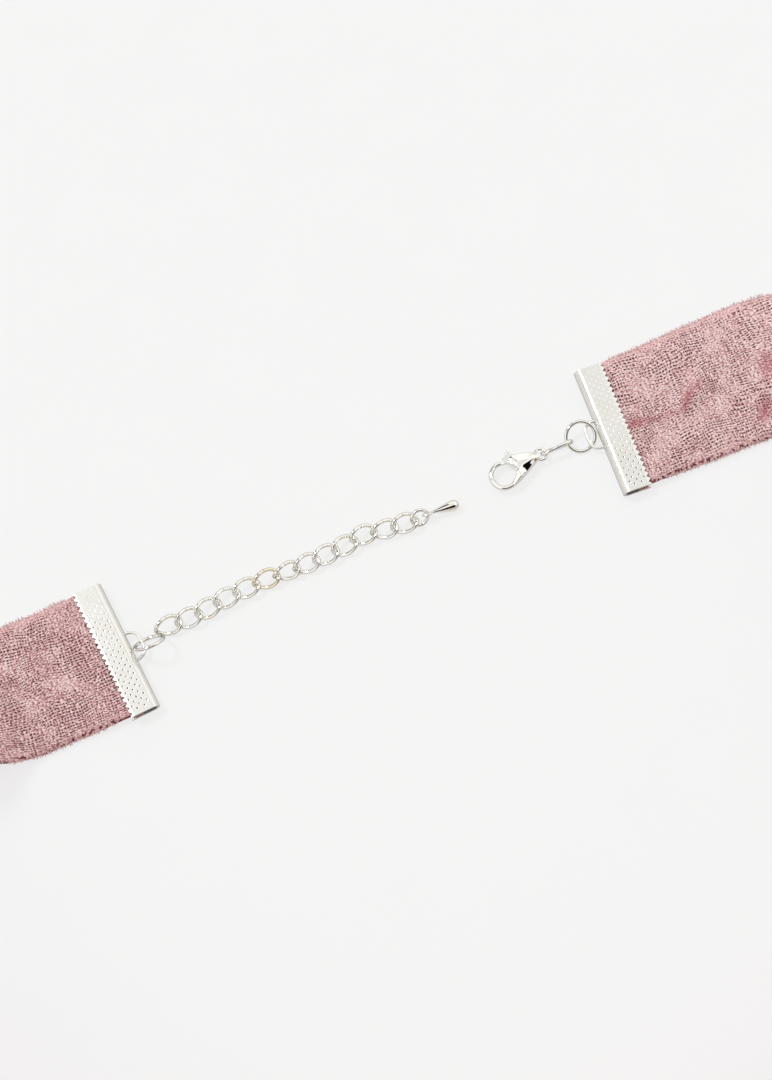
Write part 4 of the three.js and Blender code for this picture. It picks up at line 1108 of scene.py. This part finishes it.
lever_face = HOOK_OPENING - math.degrees(LEVER_GAP / hook_radius)
lever_outline = arc((0, 0), inner, lever_face, lever_face, 1)
lever_outline += [(a * CLASP_LENGTH, b * CLASP_WIDTH) for a, b in LEVER_INNER]
lever_outline += arc(PIVOT, LEVER_END, -115, 52, 14)
lever_outline += [(a * CLASP_LENGTH, b * CLASP_WIDTH) for a, b in LEVER_OUTER]
lever_outline += arc((0, 0), inner + HOOK_WIRE, lever_face, lever_face, 1)
lever_blank = slab_mesh("lever_blank", lever_outline, LEVER_THICK)
lever_mesh = fused("clasp_lever_casting", [cut(lever_blank, [slab_mesh("lever_bore", pin_hole, 2 * CLASP_THICK)])], 5)
for point in lever_mesh.vertices:
    point.co.z *= min(LEVER_TIP + LEVER_GAIN * (point.co.x - hook_radius / 4), 1.0)
pin_rings = []
for height_share, wide in PIN_OUTLINE:
    for angle in 2 * math.pi * np.arange(PIN_SIDES) / PIN_SIDES:
        spot = PIVOT + wide * PIN_WIDTH / 2 * np.array((math.cos(angle), math.sin(angle)))
        pin_rings.append((*spot, height_share * PIN_LENGTH / 2))
pin_mesh = closed_mesh("lever_rivet", pin_rings, tube_faces(len(PIN_OUTLINE), PIN_SIDES))

pin_middle = sum(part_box("lever_pin"), Vector()) / 2
clasp_place = Matrix.Translation(pin_middle) @ Matrix.Rotation(CLASP_TURN, 4, "Z") @ Matrix.Scale(MM, 4)
clasp_place = clasp_place @ Matrix.Translation((-PIVOT[0], -PIVOT[1], 0))
clasp_finish = plate_named("clasp_metal", (0.97, 0.965, 0.935, 1), 0.15, 0.04, 0.03, 0.000006, 0.3)
lever_finish = plate_named("lever_metal", (0.97, 0.965, 0.94, 1), 0.15, 0.16, 0.06, 0.00001)
pin_finish = plate_named("pin_metal", (0.90, 0.90, 0.885, 1), 0.2, 0.12, 0.08, 0.00001)
for piece_name, mesh, finish, node_name, body, slot in (
        ("clasp_casting", body_mesh, clasp_finish, "clasp_body", "choker", "clasp_metal"),
        ("clasp_lever_casting", lever_mesh, lever_finish, "clasp_lever", "lever", "lever_metal"),
        ("lever_rivet", pin_mesh, pin_finish, "lever_pin", "choker", "pin_metal")):
    mesh.transform(clasp_place)
    piece = placed(piece_name, mesh, finish)
    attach(piece, body)
    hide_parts(node_name)
